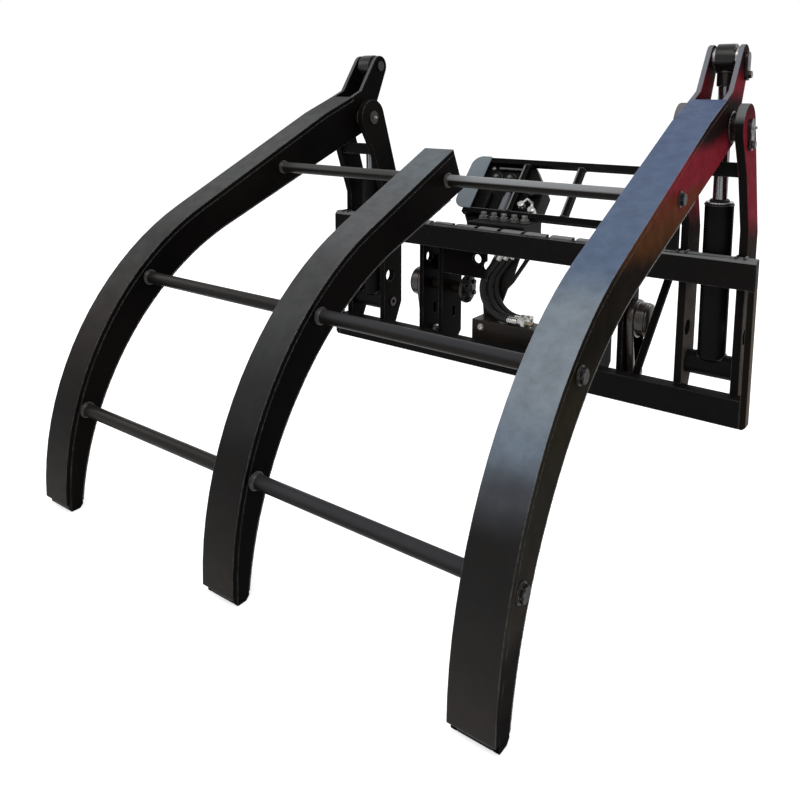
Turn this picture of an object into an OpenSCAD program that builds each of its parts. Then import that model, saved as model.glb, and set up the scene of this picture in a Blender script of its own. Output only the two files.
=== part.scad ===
// Hydraulic grapple on a fork frame: three curved box tines swing on two masts
// X runs across the frame, -Y points to the load and +Z points up

/* [Tines] */
// Distance between neighbouring tines, centre to centre
tine_spacing = 540; // [480:5:620]
// Width of a tine over its front plate
tine_w = 83; // [76:1:90]
// Thickness of the curved front plate
front_plate_t = 12; // [8:1:14]
// Thickness of the side plates, which carry on upwards as the ears
side_plate_t = 12; // [10:1:13]
// Thickness of the inset rear plate
rear_plate_t = 10; // [6:1:12]
// Slope of the straight part of a tine
tine_slope = 25; // [22:1:28]
// Slope of the short run beside the pivot
top_slope = 21; // [18:1:24]
// Length of the short run beside the pivot
top_run = 130; // [110:5:150]
// Length of the straight run from there to the bend
straight_run = 523; // [480:5:580]
// Outer radius of the bend, which ends with the tine hanging plumb
bend_r = 685; // [640:5:740]
// Depth of a tine where the rear plate starts to bend
tine_depth = 88; // [80:1:96]
// Angle by which the rear plate leans away from the front plate
taper = 4; // [2:0.5:5]
// How far above the front plate's bend the rear plate starts to bend
bend_lag = 60; // [40:5:80]
// Depth of a tine at the lower end of the front plate
tip_depth = 41; // [39:1:48]
// How far the side plates reach below the front plate
tip_lip = 17; // [14:1:26]
// Length of the centre tine's straight run
centre_run = 354; // [340:2:400]

/* [Cross rods] */
// Diameter of the three rods that tie the tines together
rod_d = 28; // [24:1:32]
// Place of the upper rod along the straight run
upper_rod_at = 302; // [280:2:310]
// Slope of the front plate beside the middle rod
mid_rod_angle = 43; // [38:1:50]
// Slope of the front plate beside the lower rod
low_rod_angle = 71.75; // [66:0.25:76]
// Distance of the upper rod's centre from the front face
upper_rod_in = 55; // [48:1:60]
// Distance of the middle rod's centre from the front face
mid_rod_in = 38; // [34:1:44]
// Distance of the lower rod's centre from the front face
low_rod_in = 31; // [29:1:34]
// Thread diameter of the bolts in the rods' ends
rod_bolt_d = 16; // [12:2:16]
// Width across the corners of the bolts' heads
rod_bolt_head_d = 40; // [34:1:42]

/* [Fork frame] */
// Height of the frame's upper edge above its datum
frame_h = 408; // [380:2:440]
// Height of the notched top bar
top_bar_h = 74; // [64:1:84]
// Height of the bottom bar
bottom_bar_h = 71; // [62:1:78]
// How far the bottom bar reaches below the frame's datum
bottom_drop = 7; // [2:1:10]
// Thickness of the top bar, front to back
bar_t = 28; // [24:1:32]
// Thickness of the bottom bar, front to back
bottom_bar_t = 40; // [36:1:44]
// Width of the two uprights that close the ends
upright_w = 16; // [12:1:20]
// Distance from a mast's outer plate to the upright
upright_gap = 12; // [6:1:16]
// Distance between the notches for the fork locks
notch_pitch = 76; // [70:1:80]
// Width of a notch
notch_w = 12; // [8:1:16]
// Depth of a notch
notch_depth = 8; // [5:1:12]
// Chamfer along the top bar's front edge
bar_chamfer = 10; // [4:1:14]

/* [Masts and pivots] */
// Height of the tine pivot above the frame's lower edge
pivot_h = 716; // [690:2:740]
// Distance of the tine pivot ahead of the frame's front face
pivot_ahead = 27; // [20:1:36]
// Clear width between the two plates of a mast
mast_gap = 116; // [110:1:122]
// Thickness of a mast plate
mast_plate_t = 20; // [16:1:22]
// Radius of a mast plate's round top
mast_top_r = 54; // [48:1:58]
// Diameter of the pivot pin
pivot_pin_d = 40; // [34:1:42]
// Outer diameter of the pivot tube in the tine
pivot_tube_d = 66; // [62:1:70]

/* [Ears and cylinders] */
// Distance of the ear pin behind the pivot
ear_back = 81; // [74:1:88]
// Height of the ear pin above the pivot
ear_up = 157; // [145:1:165]
// Radius of an ear's round top
ear_r = 32; // [28:1:36]
// Diameter of the ear pin
ear_pin_d = 30; // [26:1:32]
// Distance of the cylinder's base pin behind the frame's front face
base_back = 70; // [66:1:74]
// Height of the cylinder's base pin above the frame's lower edge
base_h = 117; // [110:1:126]
// Diameter of the base pin
base_pin_d = 30; // [26:1:32]
// Outer diameter of the base tube on the barrel
base_tube_d = 60; // [56:1:66]
// Outer diameter of the barrel
barrel_d = 67; // [62:1:70]
// Bore of the barrel
barrel_bore_d = 52; // [48:1:54]
// Distance from the base pin to the barrel's rim
barrel_l = 412; // [395:1:430]
// Diameter of the piston rod
piston_rod_d = 34; // [30:1:36]
// Diameter of the rod's eye
eye_d = 68; // [66:1:72]
// Width of the rod's eye
eye_w = 42; // [38:1:44]

/* [Rear coupler] */
// Distance from the frame's centre to the middle of a lug pair
lug_at = 283; // [275:1:290]
// Clear width between the two plates of a lug pair
lug_gap = 56; // [50:1:62]
// Thickness of a lug plate
lug_plate_t = 15; // [12:1:16]
// Depth of a lug plate behind the bars
lug_depth = 110; // [104:1:116]
// Diameter of the bore for the carrier's shaft
coupler_bore_d = 32; // [28:1:34]
// Distance of that bore behind the frame's front face
coupler_back = 62; // [60:1:66]
// Height of that bore above the frame's lower edge
coupler_h = 288; // [284:1:292]
// Diameter of the pin in a hanger arm
hanger_pin_d = 34; // [30:1:36]
// Width of the shelf behind the bottom bar
shelf_w = 250; // [230:5:260]
// Diameter of the supply hoses
hose_d = 19; // [16:1:20]

/* [Guard] */
// Length of the guard's rails
guard_w = 605; // [560:5:620]
// Distance of the guard behind the frame's front face
guard_back = 190; // [180:1:200]
// Height of the guard's lower rail above the frame's lower edge
guard_h = 420; // [410:1:430]
// Distance between the rails, measured on the slope
guard_rise = 198; // [180:2:220]
// Lean of the guard away from the load
guard_lean = 42; // [30:1:48]

/* [Hidden] */
$fn = 64;
BLACK = "#1c1c1e";
SOFT_BLACK = "#2a2a2c";
STEEL = "#b9bcc0";
BRONZE = "#b08d57";

// Fits: a pin's radial play, and the play beside parts that turn
pin_play = 0.05;
side_play = 0.5;
weld_inset = 4;
cut_over = 5;
bend_steps = 18;
turn_steps = 10;

// Unit vectors in the side view [Y, Z] for a plate that slopes by a
function along(a) = [cos(a), sin(a)];
function inward(a) = [sin(a), -cos(a)];
function ring(c, r, from, to, steps) =
  [for (i = [0 : steps]) let (a = from + i * (to - from) / steps) c + r * [cos(a), sin(a)]];

// Side view of a tine, from the pivot down to the tip
pivot = [-pivot_ahead, pivot_h];
front_end_ahead = 55;
front_end_up = 63;
front_end = pivot + [-front_end_ahead, front_end_up];
front_kink = front_end - top_run * along(top_slope);
bend_start = front_kink - straight_run * along(tine_slope);
bend_centre = bend_start + bend_r * inward(tine_slope);
function on_straight(s, d) = bend_start + s * along(tine_slope) + d * inward(tine_slope);
function on_bend(a, d) = bend_centre - (bend_r - d) * inward(a);
function bend_line(d) =
  [for (i = [0 : bend_steps]) on_bend(tine_slope + i * (90 - tine_slope) / bend_steps, d)];
function outer_tine_line(d) = concat(
  [front_end + d * inward(top_slope), front_kink + d * inward((top_slope + tine_slope) / 2)],
  bend_line(d));
function centre_tine_line(d) = concat([on_straight(centre_run, d)], bend_line(d));

// The rear plate: straight, then one arc that meets the tip's depth
rear_slope = tine_slope - taper;
rear_start = on_straight(bend_lag, tine_depth);
tip_rear = bend_centre + [tip_depth - bend_r, 0];
rear_chord = tip_rear - rear_start;
rear_r = rear_chord * rear_chord / (2 * rear_chord * inward(rear_slope));
rear_centre = rear_start + rear_r * inward(rear_slope);
rear_to_tip = (rear_centre - tip_rear) / rear_r;
rear_tip_slope = atan2(rear_to_tip[0], -rear_to_tip[1]);
function on_rear_bend(a, d) = rear_centre - (rear_r + d) * inward(a);
function on_rear_line(s, d) = rear_start + s * along(rear_slope) - d * inward(rear_slope);
function rear_line(d) =
  [for (i = [0 : bend_steps])
    on_rear_bend(rear_tip_slope + i * (rear_slope - rear_tip_slope) / bend_steps, d)];
function centre_depth(s, d) = tine_depth + (s - bend_lag) * tan(taper) - d / cos(taper);
tip_bottom = bend_centre[1] - tip_lip;
tip_front = bend_centre[0] - bend_r + front_plate_t;
tip_chamfer = 8;
tip_line = [
  [tip_front, tip_bottom],
  [tip_rear[0] - tip_chamfer, tip_bottom],
  [tip_rear[0], tip_bottom + tip_chamfer]];

// Ears: the outer tines' side plates above the pivot
ear_pin = pivot + [ear_back, ear_up];
ear_toe_ahead = 12;
ear_toe_up = 81;
ear_heel_back = 68;
ear_heel_up = 52;
ear_toe = pivot + [-ear_toe_ahead, ear_toe_up];
ear_heel = pivot + [ear_heel_back, ear_heel_up];
full_turn = 360;
function bearing(v) = atan2(v[1], v[0]);
hub_r = (rear_start - pivot) * inward(rear_slope);
hub_end = bearing(ear_heel - pivot) - acos(hub_r / norm(ear_heel - pivot));
ear_from = bearing(ear_heel - ear_pin) + acos(ear_r / norm(ear_heel - ear_pin));
ear_to = bearing(ear_toe - ear_pin) + full_turn - acos(ear_r / norm(ear_toe - ear_pin));
ear_line = concat(
  ring(pivot, hub_r, rear_slope - 90, hub_end, turn_steps),
  [ear_heel],
  ring(ear_pin, ear_r, ear_from, ear_to, turn_steps),
  [ear_toe, front_end]);
outer_side_outline = concat(outer_tine_line(front_plate_t), tip_line, rear_line(0), ear_line);
centre_side_outline = concat(
  centre_tine_line(front_plate_t), tip_line, rear_line(0),
  [on_straight(centre_run, centre_depth(centre_run, 0))]);

// Rear plates stop at the pivot tube, or at the centre tine's cap
cap_t = 10;
tube_gap = 6;
rear_face = weld_inset + rear_plate_t;
outer_rear_run = (pivot - rear_start) * along(rear_slope) - pivot_tube_d / 2 - tube_gap;
tip_rear_line = [
  [tip_rear[0] - weld_inset, tip_bottom + tip_chamfer],
  [tip_rear[0] - rear_face, tip_bottom + tip_chamfer]];
function reversed(list) = [for (i = [len(list) - 1 : -1 : 0]) list[i]];
outer_rear_outline = concat(
  [on_rear_line(outer_rear_run, weld_inset)], reversed(rear_line(weld_inset)),
  tip_rear_line, rear_line(rear_face), [on_rear_line(outer_rear_run, rear_face)]);
cap_at = centre_run - cap_t;
centre_rear_outline = concat(
  [on_straight(cap_at, centre_depth(cap_at, weld_inset))], reversed(rear_line(weld_inset)),
  tip_rear_line, rear_line(rear_face), [on_straight(cap_at, centre_depth(cap_at, rear_face))]);

// Places across the frame
tine_in = tine_w - 2 * side_plate_t;
mast_out = mast_gap + 2 * mast_plate_t;
frame_w = 2 * (tine_spacing + mast_out / 2 + upright_gap + upright_w);
frame_in = frame_w - 2 * upright_w;

// Cross rods, centred in the tines' side view
upper_rod_c = on_straight(upper_rod_at, upper_rod_in);
mid_rod_c = on_bend(mid_rod_angle, mid_rod_in);
low_rod_c = on_bend(low_rod_angle, low_rod_in);
rod_centres = [upper_rod_c, mid_rod_c, low_rod_c];
rod_l = 2 * tine_spacing + tine_in;
rod_bolt_grip = 32;
rod_bolt_head_t = 8;
rod_washer_t = 2;
collar_flare = 4;
collar_t = 5;

// Mast plates in side view, stepped over the deeper bottom bar
bottom_top = bottom_bar_h - bottom_drop;
mast_front_top = 108;
mast_front_top_back = 4;
mast_slant_end_h = 470;
mast_rear_slant = 19.2;
mast_front_slant = 200;
mast_rear_back = 120;
mast_foot_h = 34;
mast_foot_back = 84;
mast_chamfer_h = 108;
mast_rear_tangent = pivot + mast_top_r * along(mast_rear_slant);
mast_rear_drop = (mast_rear_back - mast_rear_tangent[0]) / tan(mast_rear_slant);
mast_outline = concat(
  ring(pivot, mast_top_r, mast_rear_slant, mast_front_slant, 2 * turn_steps),
  [pivot + [mast_front_top_back, -mast_front_top],
   [bar_t, mast_slant_end_h], [bar_t, bottom_top], [bottom_bar_t, bottom_top],
   [bottom_bar_t, mast_foot_h], [mast_foot_back, mast_foot_h],
   [mast_rear_back, mast_chamfer_h],
   [mast_rear_back, mast_rear_tangent[1] - mast_rear_drop]]);
mast_hole = [58, 206];
mast_hole_d = 40;
gusset_h = 34;
gusset_t = 12;
gusset_drop = 116;
gusset_back = 14;
bar_gusset_w = 32;
bar_gusset_h = 77;
bar_gusset_back = 8;

// Pins and their flags
flag_t = 8;
flag_w = 28;
flag_reach = 38;
flag_bolt_d = 12;
flag_head_d = 20;
flag_head_t = 7;
flag_bolt_l = 10;
pin_end = 4;
bush_wall = 4;
bush_l = 30;
tube_l = mast_gap - 2 * side_play;
washer_d = 48;
eye_play = 6.2;
washer_t = (tine_in - eye_w) / 2 - side_play;

// Cylinders, drawn along their own axis from the base pin
base_pin = [base_back, base_h];
cylinder_line = ear_pin - base_pin;
cylinder_l = norm(cylinder_line);
cylinder_tilt = bearing(cylinder_line) - 90;
base_tube_l = mast_gap - 2 * side_play;
barrel_floor = 14;
barrel_seat = 22;
gland_l = 38;
gland_rim = 3;
piston_l = 26;
piston_gap = 8;
eye_neck_d = 43;
eye_neck_l = 63;
port_d = 26;
port_l = 14;
port_at = 52;

// Lug plates, hanger arms and their pins
coupler = [coupler_back, coupler_h];
lug_low = 16;
lug_top_drop = 28;
lug_high = frame_h - lug_top_drop;
lug_corner = 30;
lug_back = bar_t + lug_depth;
lug_line = [
  [bottom_bar_t, lug_low], [lug_back - lug_corner, lug_low], [lug_back, lug_low + lug_corner],
  [lug_back, lug_high - lug_corner], [lug_back - lug_corner, lug_high], [bar_t, lug_high],
  [bar_t, bottom_top], [bottom_bar_t, bottom_top]];
lug_w = lug_gap + 2 * lug_plate_t;
lug_slot_d = 18;
lug_slot_l = 18;
hanger = [94, 196];
hanger_r = 52;
hanger_t = 20;
hub_t = 26;
hub_d = 92;
tail_low = 26;
tail_w = 50;
lug_slot_drop = 78;
lug_bolt_drop = 146;
lug_slot = hanger - [0, lug_slot_drop];
lug_bolt = hanger - [0, lug_bolt_drop];
lug_bolt_d = 16;
lug_head_d = 28;
lug_head_t = 10;
tail_to = asin((hanger_r - tail_w / 2) / (hanger[1] - tail_low));
hanger_outline = concat(
  ring(hanger, hanger_r, -tail_to, 180 + tail_to, 3 * turn_steps),
  [[hanger[0] - tail_w / 2, tail_low], [hanger[0] + tail_w / 2, tail_low]]);
tie_low = 236;
tie_h = 48;
tie_t = 12;
tie_back = 108;
wing_w = 150;
wing_drop = 156;
wing_low = frame_h - wing_drop;
wing_hole = [[-120, 57], [-88, 38]];
wing_hole_d = 27;
flange_d = 88;
flange_t = 9;
flange_reach = 53;

// Shelf, manifold and hoses behind the frame
manifold_drop = 63;
manifold_low = frame_h - manifold_drop;
shelf_at = -32;
shelf_low = 108;
shelf_t = 6;
shelf_lip = 72;
lip_low = shelf_low + shelf_t - shelf_lip;
shelf_front = 66;
shelf_back = 138;
leg_t = 10;
leg_inset = 26;
leg_chamfer = 42;
leg_outline = [
  [bottom_bar_t, bottom_drop], [shelf_back - leg_chamfer, bottom_drop],
  [shelf_back, shelf_low - leg_chamfer / 2], [shelf_back, shelf_low],
  [shelf_front + shelf_t, shelf_low], [shelf_front + shelf_t, lip_low],
  [bottom_bar_t, lip_low]];
strap_t = 8;
strap_w = 16;
strap_grip = 10;
strap_foot = [-160, -113];
strap_waist = [[-166, 180], [-78, 202]];
strap_knee = [[-160, 236], [-58, 224]];
strap_shoulder = [-126, 300];
strap_notch = [-58, 245];
strap_head = [-96, -22];
strap_top = [20, manifold_low + strap_grip];
strap_outline = [
  [strap_foot[0], shelf_low], [strap_foot[1], shelf_low], strap_waist[1], strap_knee[1],
  strap_top + [strap_w / 2, 0], strap_top - [strap_w / 2, 0], strap_notch,
  [strap_head[1], strap_top[1]], [strap_head[0], strap_top[1]],
  strap_shoulder, strap_knee[0], strap_waist[0]];
shelf_bolt_d = 12;
shelf_bolt_in = 15;
hose_bend_r = 84;
hose_lift = 36;
hose_rows_n = 3;
hose_front = 82;
hose_pitch = 21;
hose_step = 11;
hose_run = 14;
fitting_d = 22;
fitting_play = 2;
fitting_l = 14;
hose_low = shelf_low + shelf_t + fitting_d / 2;
hose_turn = [-48, hose_low + hose_bend_r];
hose_bend_top = hose_turn[1] + hose_bend_r * sin(hose_lift);
hose_rise = (manifold_low + hose_d - hose_bend_top) / cos(hose_lift);
hose_last = hose_turn[0] + (hose_rows_n - 1) * hose_step;
block_left = hose_last + hose_run + fitting_l;
block_edge = 10;
block_l = 14;
block_h = 2 * (hose_low - shelf_low - shelf_t);
knob_l = 20;
knob_d = 14;
manifold_left = -158;
manifold_l = 188;
manifold_h = 73;
stay_w = 20;
stay_t = 10;
stay_low_in = 176;
stay_high_in = 92;
stay_drop = 36;
stay_low = [tine_spacing - stay_low_in, bottom_top];
stay_high = [tine_spacing - stay_high_in, frame_h - stay_drop];
stay_outline = [
  stay_low - [stay_w / 2, 0], stay_low + [stay_w / 2, 0],
  stay_high + [stay_w / 2, 0], stay_high - [stay_w / 2, 0]];

// Guard: two rails, two posts and a rounded end plate on a lean
rail = 20;
guard_centre = -4;
guard_plate_w = 64;
guard_plate_t = 5;
guard_plate_r = 36;
guard_plate_lap = 6;
post_w = 20;
post_places = [-105, 76];
valve_t = 56;
valve_left = -262;
valve_right = -24;
valve_shoulder = [-94, 112];
valve_foot = [-228, -52];
valve_foot_drop = 58;
valve_outline = [
  [valve_left, -rail / 2], [valve_foot[0], -valve_foot_drop],
  [valve_foot[1], -valve_foot_drop], [valve_right, -rail / 2], [valve_right, valve_shoulder[1]],
  [valve_shoulder[0], guard_rise + rail / 2], [valve_left, guard_rise + rail / 2]];
bracket_t = 10;
bracket_places = [-172, 258];
bracket_drop = [62, 8];
guard_at = [guard_back, guard_h];
guard_up = [sin(guard_lean), cos(guard_lean)];
guard_out = [cos(guard_lean), -sin(guard_lean)];
bracket_outline = [
  [bar_t, frame_h - bracket_drop[0]], guard_at + rail / 2 * (guard_out - guard_up),
  guard_at - rail / 2 * (guard_out + guard_up), [bar_t, frame_h - bracket_drop[1]]];

// The origin is on the coupler bore, at the middle of the frame
module in_frame() translate([0, -coupler_back, -coupler_h]) children();
module x_plate(x, w, outline)
  translate([x, 0, 0]) rotate([90, 0, 90]) linear_extrude(w) polygon(outline);
module y_plate(y, t, outline)
  translate([0, y + t, 0]) rotate([90, 0, 0]) linear_extrude(t) polygon(outline);
module x_rod(x, l, c, d, sides = $fn)
  translate([x, c[0], c[1]]) rotate([0, 90, 0]) cylinder(h = l, d = d, $fn = sides);
module on_right() translate([tine_spacing, 0, 0]) children();
module on_left() mirror([1, 0, 0]) on_right() children();
module both_sides() {
  on_right() children();
  on_left() children();
}
module mirrored() {
  children();
  mirror([1, 0, 0]) children();
}

// Fork frame
module top_bar() in_frame() color(BLACK) difference() {
  x_plate(-frame_w / 2, frame_w, [
    [0, frame_h - top_bar_h], [bar_t, frame_h - top_bar_h], [bar_t, frame_h],
    [bar_chamfer, frame_h], [0, frame_h - bar_chamfer]]);
  for (i = [-3.5 : 1 : 3.5])
    translate([i * notch_pitch - notch_w / 2, -cut_over, frame_h - notch_depth])
      cube([notch_w, bar_t + 2 * cut_over, notch_depth + cut_over]);
}
module bottom_bar() in_frame() color(BLACK)
  translate([-frame_in / 2, 0, -bottom_drop]) cube([frame_in, bottom_bar_t, bottom_bar_h]);
module uprights() in_frame() color(BLACK) mirrored() y_plate(0, bar_t, [
  [frame_in / 2, -bottom_drop], [frame_w / 2 - tip_chamfer, -bottom_drop],
  [frame_w / 2, tip_chamfer - bottom_drop], [frame_w / 2, frame_h - top_bar_h],
  [frame_in / 2, frame_h - top_bar_h]]);

// Masts: an inner and an outer plate beside each outer tine
module mast_plate(x) difference() {
  x_plate(x, mast_plate_t, mast_outline);
  x_rod(x - cut_over, mast_plate_t + 2 * cut_over, pivot, pivot_pin_d + 2 * pin_play);
  x_rod(x - cut_over, mast_plate_t + 2 * cut_over, base_pin, base_pin_d + 2 * pin_play);
  x_rod(x - cut_over, mast_plate_t + 2 * cut_over, mast_hole, mast_hole_d);
}
module mast_plates() {
  mast_plate(-mast_gap / 2 - mast_plate_t);
  difference() {
    mast_plate(mast_gap / 2);
    x_rod(mast_out / 2 - flag_bolt_l - pin_play, flag_bolt_l + cut_over,
      flag_bolt(pivot), flag_bolt_d + 2 * pin_play);
  }
}
module left_mast_plates() in_frame() color(BLACK) on_left() mast_plates();
module right_mast_plates() in_frame() color(BLACK) on_right() mast_plates();
module mast_gussets() in_frame() color(BLACK) {
  both_sides() translate([-mast_gap / 2, pivot[0] + gusset_back, pivot[1] - gusset_drop])
    cube([mast_gap, gusset_t, gusset_h]);
  mirrored() translate([tine_spacing - mast_out / 2 - bar_gusset_w, bar_gusset_back, frame_h])
    cube([bar_gusset_w, gusset_t, bar_gusset_h]);
}

// A headed pin whose flag is bolted down so that it can't turn
function flag_bolt(c) = c - [0, flag_reach];
module flag_pin(c, d, w) difference() {
  union() {
    x_rod(-w / 2 - pin_end, w + pin_end, c, d);
    x_rod(w / 2, flag_t, c, d);
    x_rod(w / 2, flag_t, flag_bolt(c), flag_w);
    translate([w / 2, c[0] - flag_w / 2, c[1] - flag_reach]) cube([flag_t, flag_w, flag_reach]);
  }
  x_rod(w / 2 - cut_over, flag_t + 2 * cut_over, flag_bolt(c), flag_bolt_d + 2 * pin_play);
}
module flag_bolt_set(c, w) {
  x_rod(w / 2 + flag_t, flag_head_t, flag_bolt(c), flag_head_d, 6);
  x_rod(w / 2 - flag_bolt_l, flag_bolt_l + flag_t, flag_bolt(c), flag_bolt_d);
}
module pivot_pins() in_frame() color(STEEL) both_sides() flag_pin(pivot, pivot_pin_d, mast_out);
module pivot_pin_bolts() in_frame() color(STEEL) both_sides() flag_bolt_set(pivot, mast_out);
module ear_pins() in_frame() color(STEEL) both_sides() flag_pin(ear_pin, ear_pin_d, tine_w);
module ear_pin_bolts() in_frame() color(STEEL) both_sides() flag_bolt_set(ear_pin, tine_w);
module base_pins() in_frame() color(STEEL) both_sides() difference() {
  x_rod(-mast_out / 2 - pin_end, mast_out + 2 * pin_end, base_pin, base_pin_d);
  x_rod(-mast_out / 2 - pin_end - cut_over, pin_end + 2 * cut_over, base_pin, flag_bolt_d);
}

// Tines: front plate over the side plates, rear plate inset between them
module rod_bores(l) for (c = rod_centres) x_rod(-l / 2, l, c, rod_d + 2 * pin_play);
module side_plates(outline)
  for (x = [-tine_w / 2, tine_w / 2 - side_plate_t]) x_plate(x, side_plate_t, outline);
module outer_sides() difference() {
  side_plates(outer_side_outline);
  for (c = rod_centres) {
    x_rod(-tine_w, tine_w, c, rod_d + 2 * pin_play);
    x_rod(0, tine_w, c, rod_bolt_d + 2 * pin_play);
  }
  x_rod(-tine_w, 2 * tine_w, pivot, pivot_tube_d + 2 * pin_play);
  x_rod(-tine_w, 2 * tine_w, ear_pin, ear_pin_d + 2 * pin_play);
  x_rod(tine_w / 2 - flag_bolt_l - pin_play, flag_bolt_l + cut_over,
    flag_bolt(ear_pin), flag_bolt_d + 2 * pin_play);
}
module front_plate(outside, inside)
  x_plate(-tine_w / 2, tine_w, concat(outside, reversed(inside)));
module outer_front() front_plate(outer_tine_line(0), outer_tine_line(front_plate_t));
module outer_rear() x_plate(-tine_in / 2, tine_in, outer_rear_outline);
module left_tine_sides() in_frame() color(BLACK) on_left() outer_sides();
module right_tine_sides() in_frame() color(BLACK) on_right() outer_sides();
module left_tine_front() in_frame() color(BLACK) on_left() outer_front();
module right_tine_front() in_frame() color(BLACK) on_right() outer_front();
module left_tine_rear() in_frame() color(BLACK) on_left() outer_rear();
module right_tine_rear() in_frame() color(BLACK) on_right() outer_rear();
module centre_tine_sides() in_frame() color(BLACK) difference() {
  side_plates(centre_side_outline);
  rod_bores(2 * tine_w);
}
module centre_tine_front() in_frame() color(BLACK)
  front_plate(centre_tine_line(0), centre_tine_line(front_plate_t));
module centre_tine_rear() in_frame() color(BLACK)
  x_plate(-tine_in / 2, tine_in, centre_rear_outline);
module centre_tine_cap() in_frame() color(BLACK) x_plate(-tine_in / 2, tine_in, [
  on_straight(cap_at, front_plate_t), on_straight(centre_run, front_plate_t),
  on_straight(centre_run, centre_depth(centre_run, weld_inset)),
  on_straight(cap_at, centre_depth(cap_at, weld_inset))]);
module tip_blocks() in_frame() color(BLACK) for (i = [-1 : 1])
  translate([i * tine_spacing - tine_in / 2, tip_front, tip_bottom])
    cube([tine_in, tip_rear[0] - rear_face - tip_front, tip_lip]);

// Cross rods with their weld collars and end bolts
module cross_rod(c) difference() {
  x_rod(-rod_l / 2, rod_l, c, rod_d);
  for (x = [-rod_l / 2 - cut_over, rod_l / 2 - rod_bolt_grip])
    x_rod(x, rod_bolt_grip + cut_over, c, rod_bolt_d + 2 * pin_play);
}
module upper_rod() in_frame() color(BLACK) cross_rod(upper_rod_c);
module middle_rod() in_frame() color(BLACK) cross_rod(mid_rod_c);
module lower_rod() in_frame() color(BLACK) cross_rod(low_rod_c);
module collar(c) translate([tine_w / 2, c[0], c[1]]) rotate([0, 90, 0]) difference() {
  cylinder(h = collar_t, d1 = rod_d + 2 * collar_flare, d2 = rod_d + collar_flare);
  translate([0, 0, -cut_over]) cylinder(h = collar_t + 2 * cut_over, d = rod_d + 2 * pin_play);
}
module rod_collars() in_frame() color(BLACK) for (c = rod_centres) mirrored() {
  collar(c);
  translate([tine_spacing, 0, 0]) mirror([1, 0, 0]) collar(c);
}
module rod_bolts() in_frame() color(SOFT_BLACK) both_sides() for (c = rod_centres) {
  x_rod(tine_w / 2 - side_plate_t - rod_bolt_grip + cut_over,
    side_plate_t + rod_bolt_grip - cut_over, c, rod_bolt_d);
  x_rod(tine_w / 2, rod_washer_t, c, rod_bolt_head_d);
  x_rod(tine_w / 2 + rod_washer_t, rod_bolt_head_t, c, rod_bolt_head_d - rod_washer_t, 6);
}

// Pivot tubes turn with the tines on bushes around the pivot pins
bush_d = pivot_pin_d + 2 * (pin_play + bush_wall);
module pivot_tubes() in_frame() color(BLACK) both_sides() difference() {
  x_rod(-tube_l / 2, tube_l, pivot, pivot_tube_d);
  x_rod(-tube_l / 2 - cut_over, tube_l + 2 * cut_over, pivot, bush_d + 2 * pin_play);
}
module pivot_bushes() in_frame() color(BRONZE) both_sides()
  for (x = [-tube_l / 2, tube_l / 2 - bush_l]) difference() {
    x_rod(x, bush_l, pivot, bush_d);
    x_rod(x - cut_over, bush_l + 2 * cut_over, pivot, pivot_pin_d + 2 * pin_play);
  }
module eye_washers() in_frame() color(STEEL) both_sides()
  for (x = [-tine_in / 2, tine_in / 2 - washer_t]) difference() {
    x_rod(x, washer_t, ear_pin, washer_d);
    x_rod(x - cut_over, washer_t + 2 * cut_over, ear_pin, ear_pin_d + 2 * pin_play);
  }

// Hydraulic cylinders, drawn standing on the base pin
module on_cylinder()
  translate([0, base_pin[0], base_pin[1]]) rotate([cylinder_tilt, 0, 0]) children();
module across(l, d, h = 0)
  translate([-l / 2, 0, h]) rotate([0, 90, 0]) cylinder(h = l, d = d);
module barrel() on_cylinder() difference() {
  union() {
    translate([0, 0, barrel_seat]) cylinder(h = barrel_l - barrel_seat, d = barrel_d);
    across(base_tube_l, base_tube_d);
    for (h = [port_at, barrel_l - port_at])
      translate([0, 0, h]) rotate([-90, 0, 0]) cylinder(h = barrel_d / 2 + port_l, d = port_d);
  }
  translate([0, 0, base_tube_d / 2 + barrel_floor])
    cylinder(h = barrel_l, d = barrel_bore_d);
  across(base_tube_l + 2 * cut_over, base_pin_d + 2 * pin_play);
}
module gland() on_cylinder() difference() {
  union() {
    translate([0, 0, barrel_l - gland_l])
      cylinder(h = gland_l, d = barrel_bore_d - 2 * pin_play);
    translate([0, 0, barrel_l]) cylinder(h = gland_rim, d = barrel_d - gland_rim);
  }
  translate([0, 0, barrel_l - gland_l - cut_over])
    cylinder(h = gland_l + gland_rim + 2 * cut_over, d = piston_rod_d + 2 * pin_play);
}
piston_low = barrel_l - gland_l - piston_gap - piston_l;
module piston_rod() on_cylinder() translate([0, 0, piston_low + piston_l])
  cylinder(h = cylinder_l - eye_neck_l - piston_low - piston_l, d = piston_rod_d);
module piston() on_cylinder() translate([0, 0, piston_low])
  cylinder(h = piston_l, d = barrel_bore_d - 2 * pin_play);
module rod_eye() on_cylinder() difference() {
  union() {
    across(eye_w, eye_d, cylinder_l);
    translate([0, 0, cylinder_l - eye_neck_l]) cylinder(h = eye_neck_l, d = eye_neck_d);
  }
  across(eye_w + 2 * cut_over, ear_pin_d + 2 * eye_play, cylinder_l);
}
module left_barrel() in_frame() color(BLACK) on_left() barrel();
module right_barrel() in_frame() color(BLACK) on_right() barrel();
module left_gland() in_frame() color(STEEL) on_left() gland();
module right_gland() in_frame() color(STEEL) on_right() gland();
module left_piston_rod() in_frame() color(STEEL) on_left() piston_rod();
module right_piston_rod() in_frame() color(STEEL) on_right() piston_rod();
module left_piston() in_frame() color(STEEL) on_left() piston();
module right_piston() in_frame() color(STEEL) on_right() piston();
module left_rod_eye() in_frame() color(BLACK) on_left() rod_eye();
module right_rod_eye() in_frame() color(BLACK) on_right() rod_eye();

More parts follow.
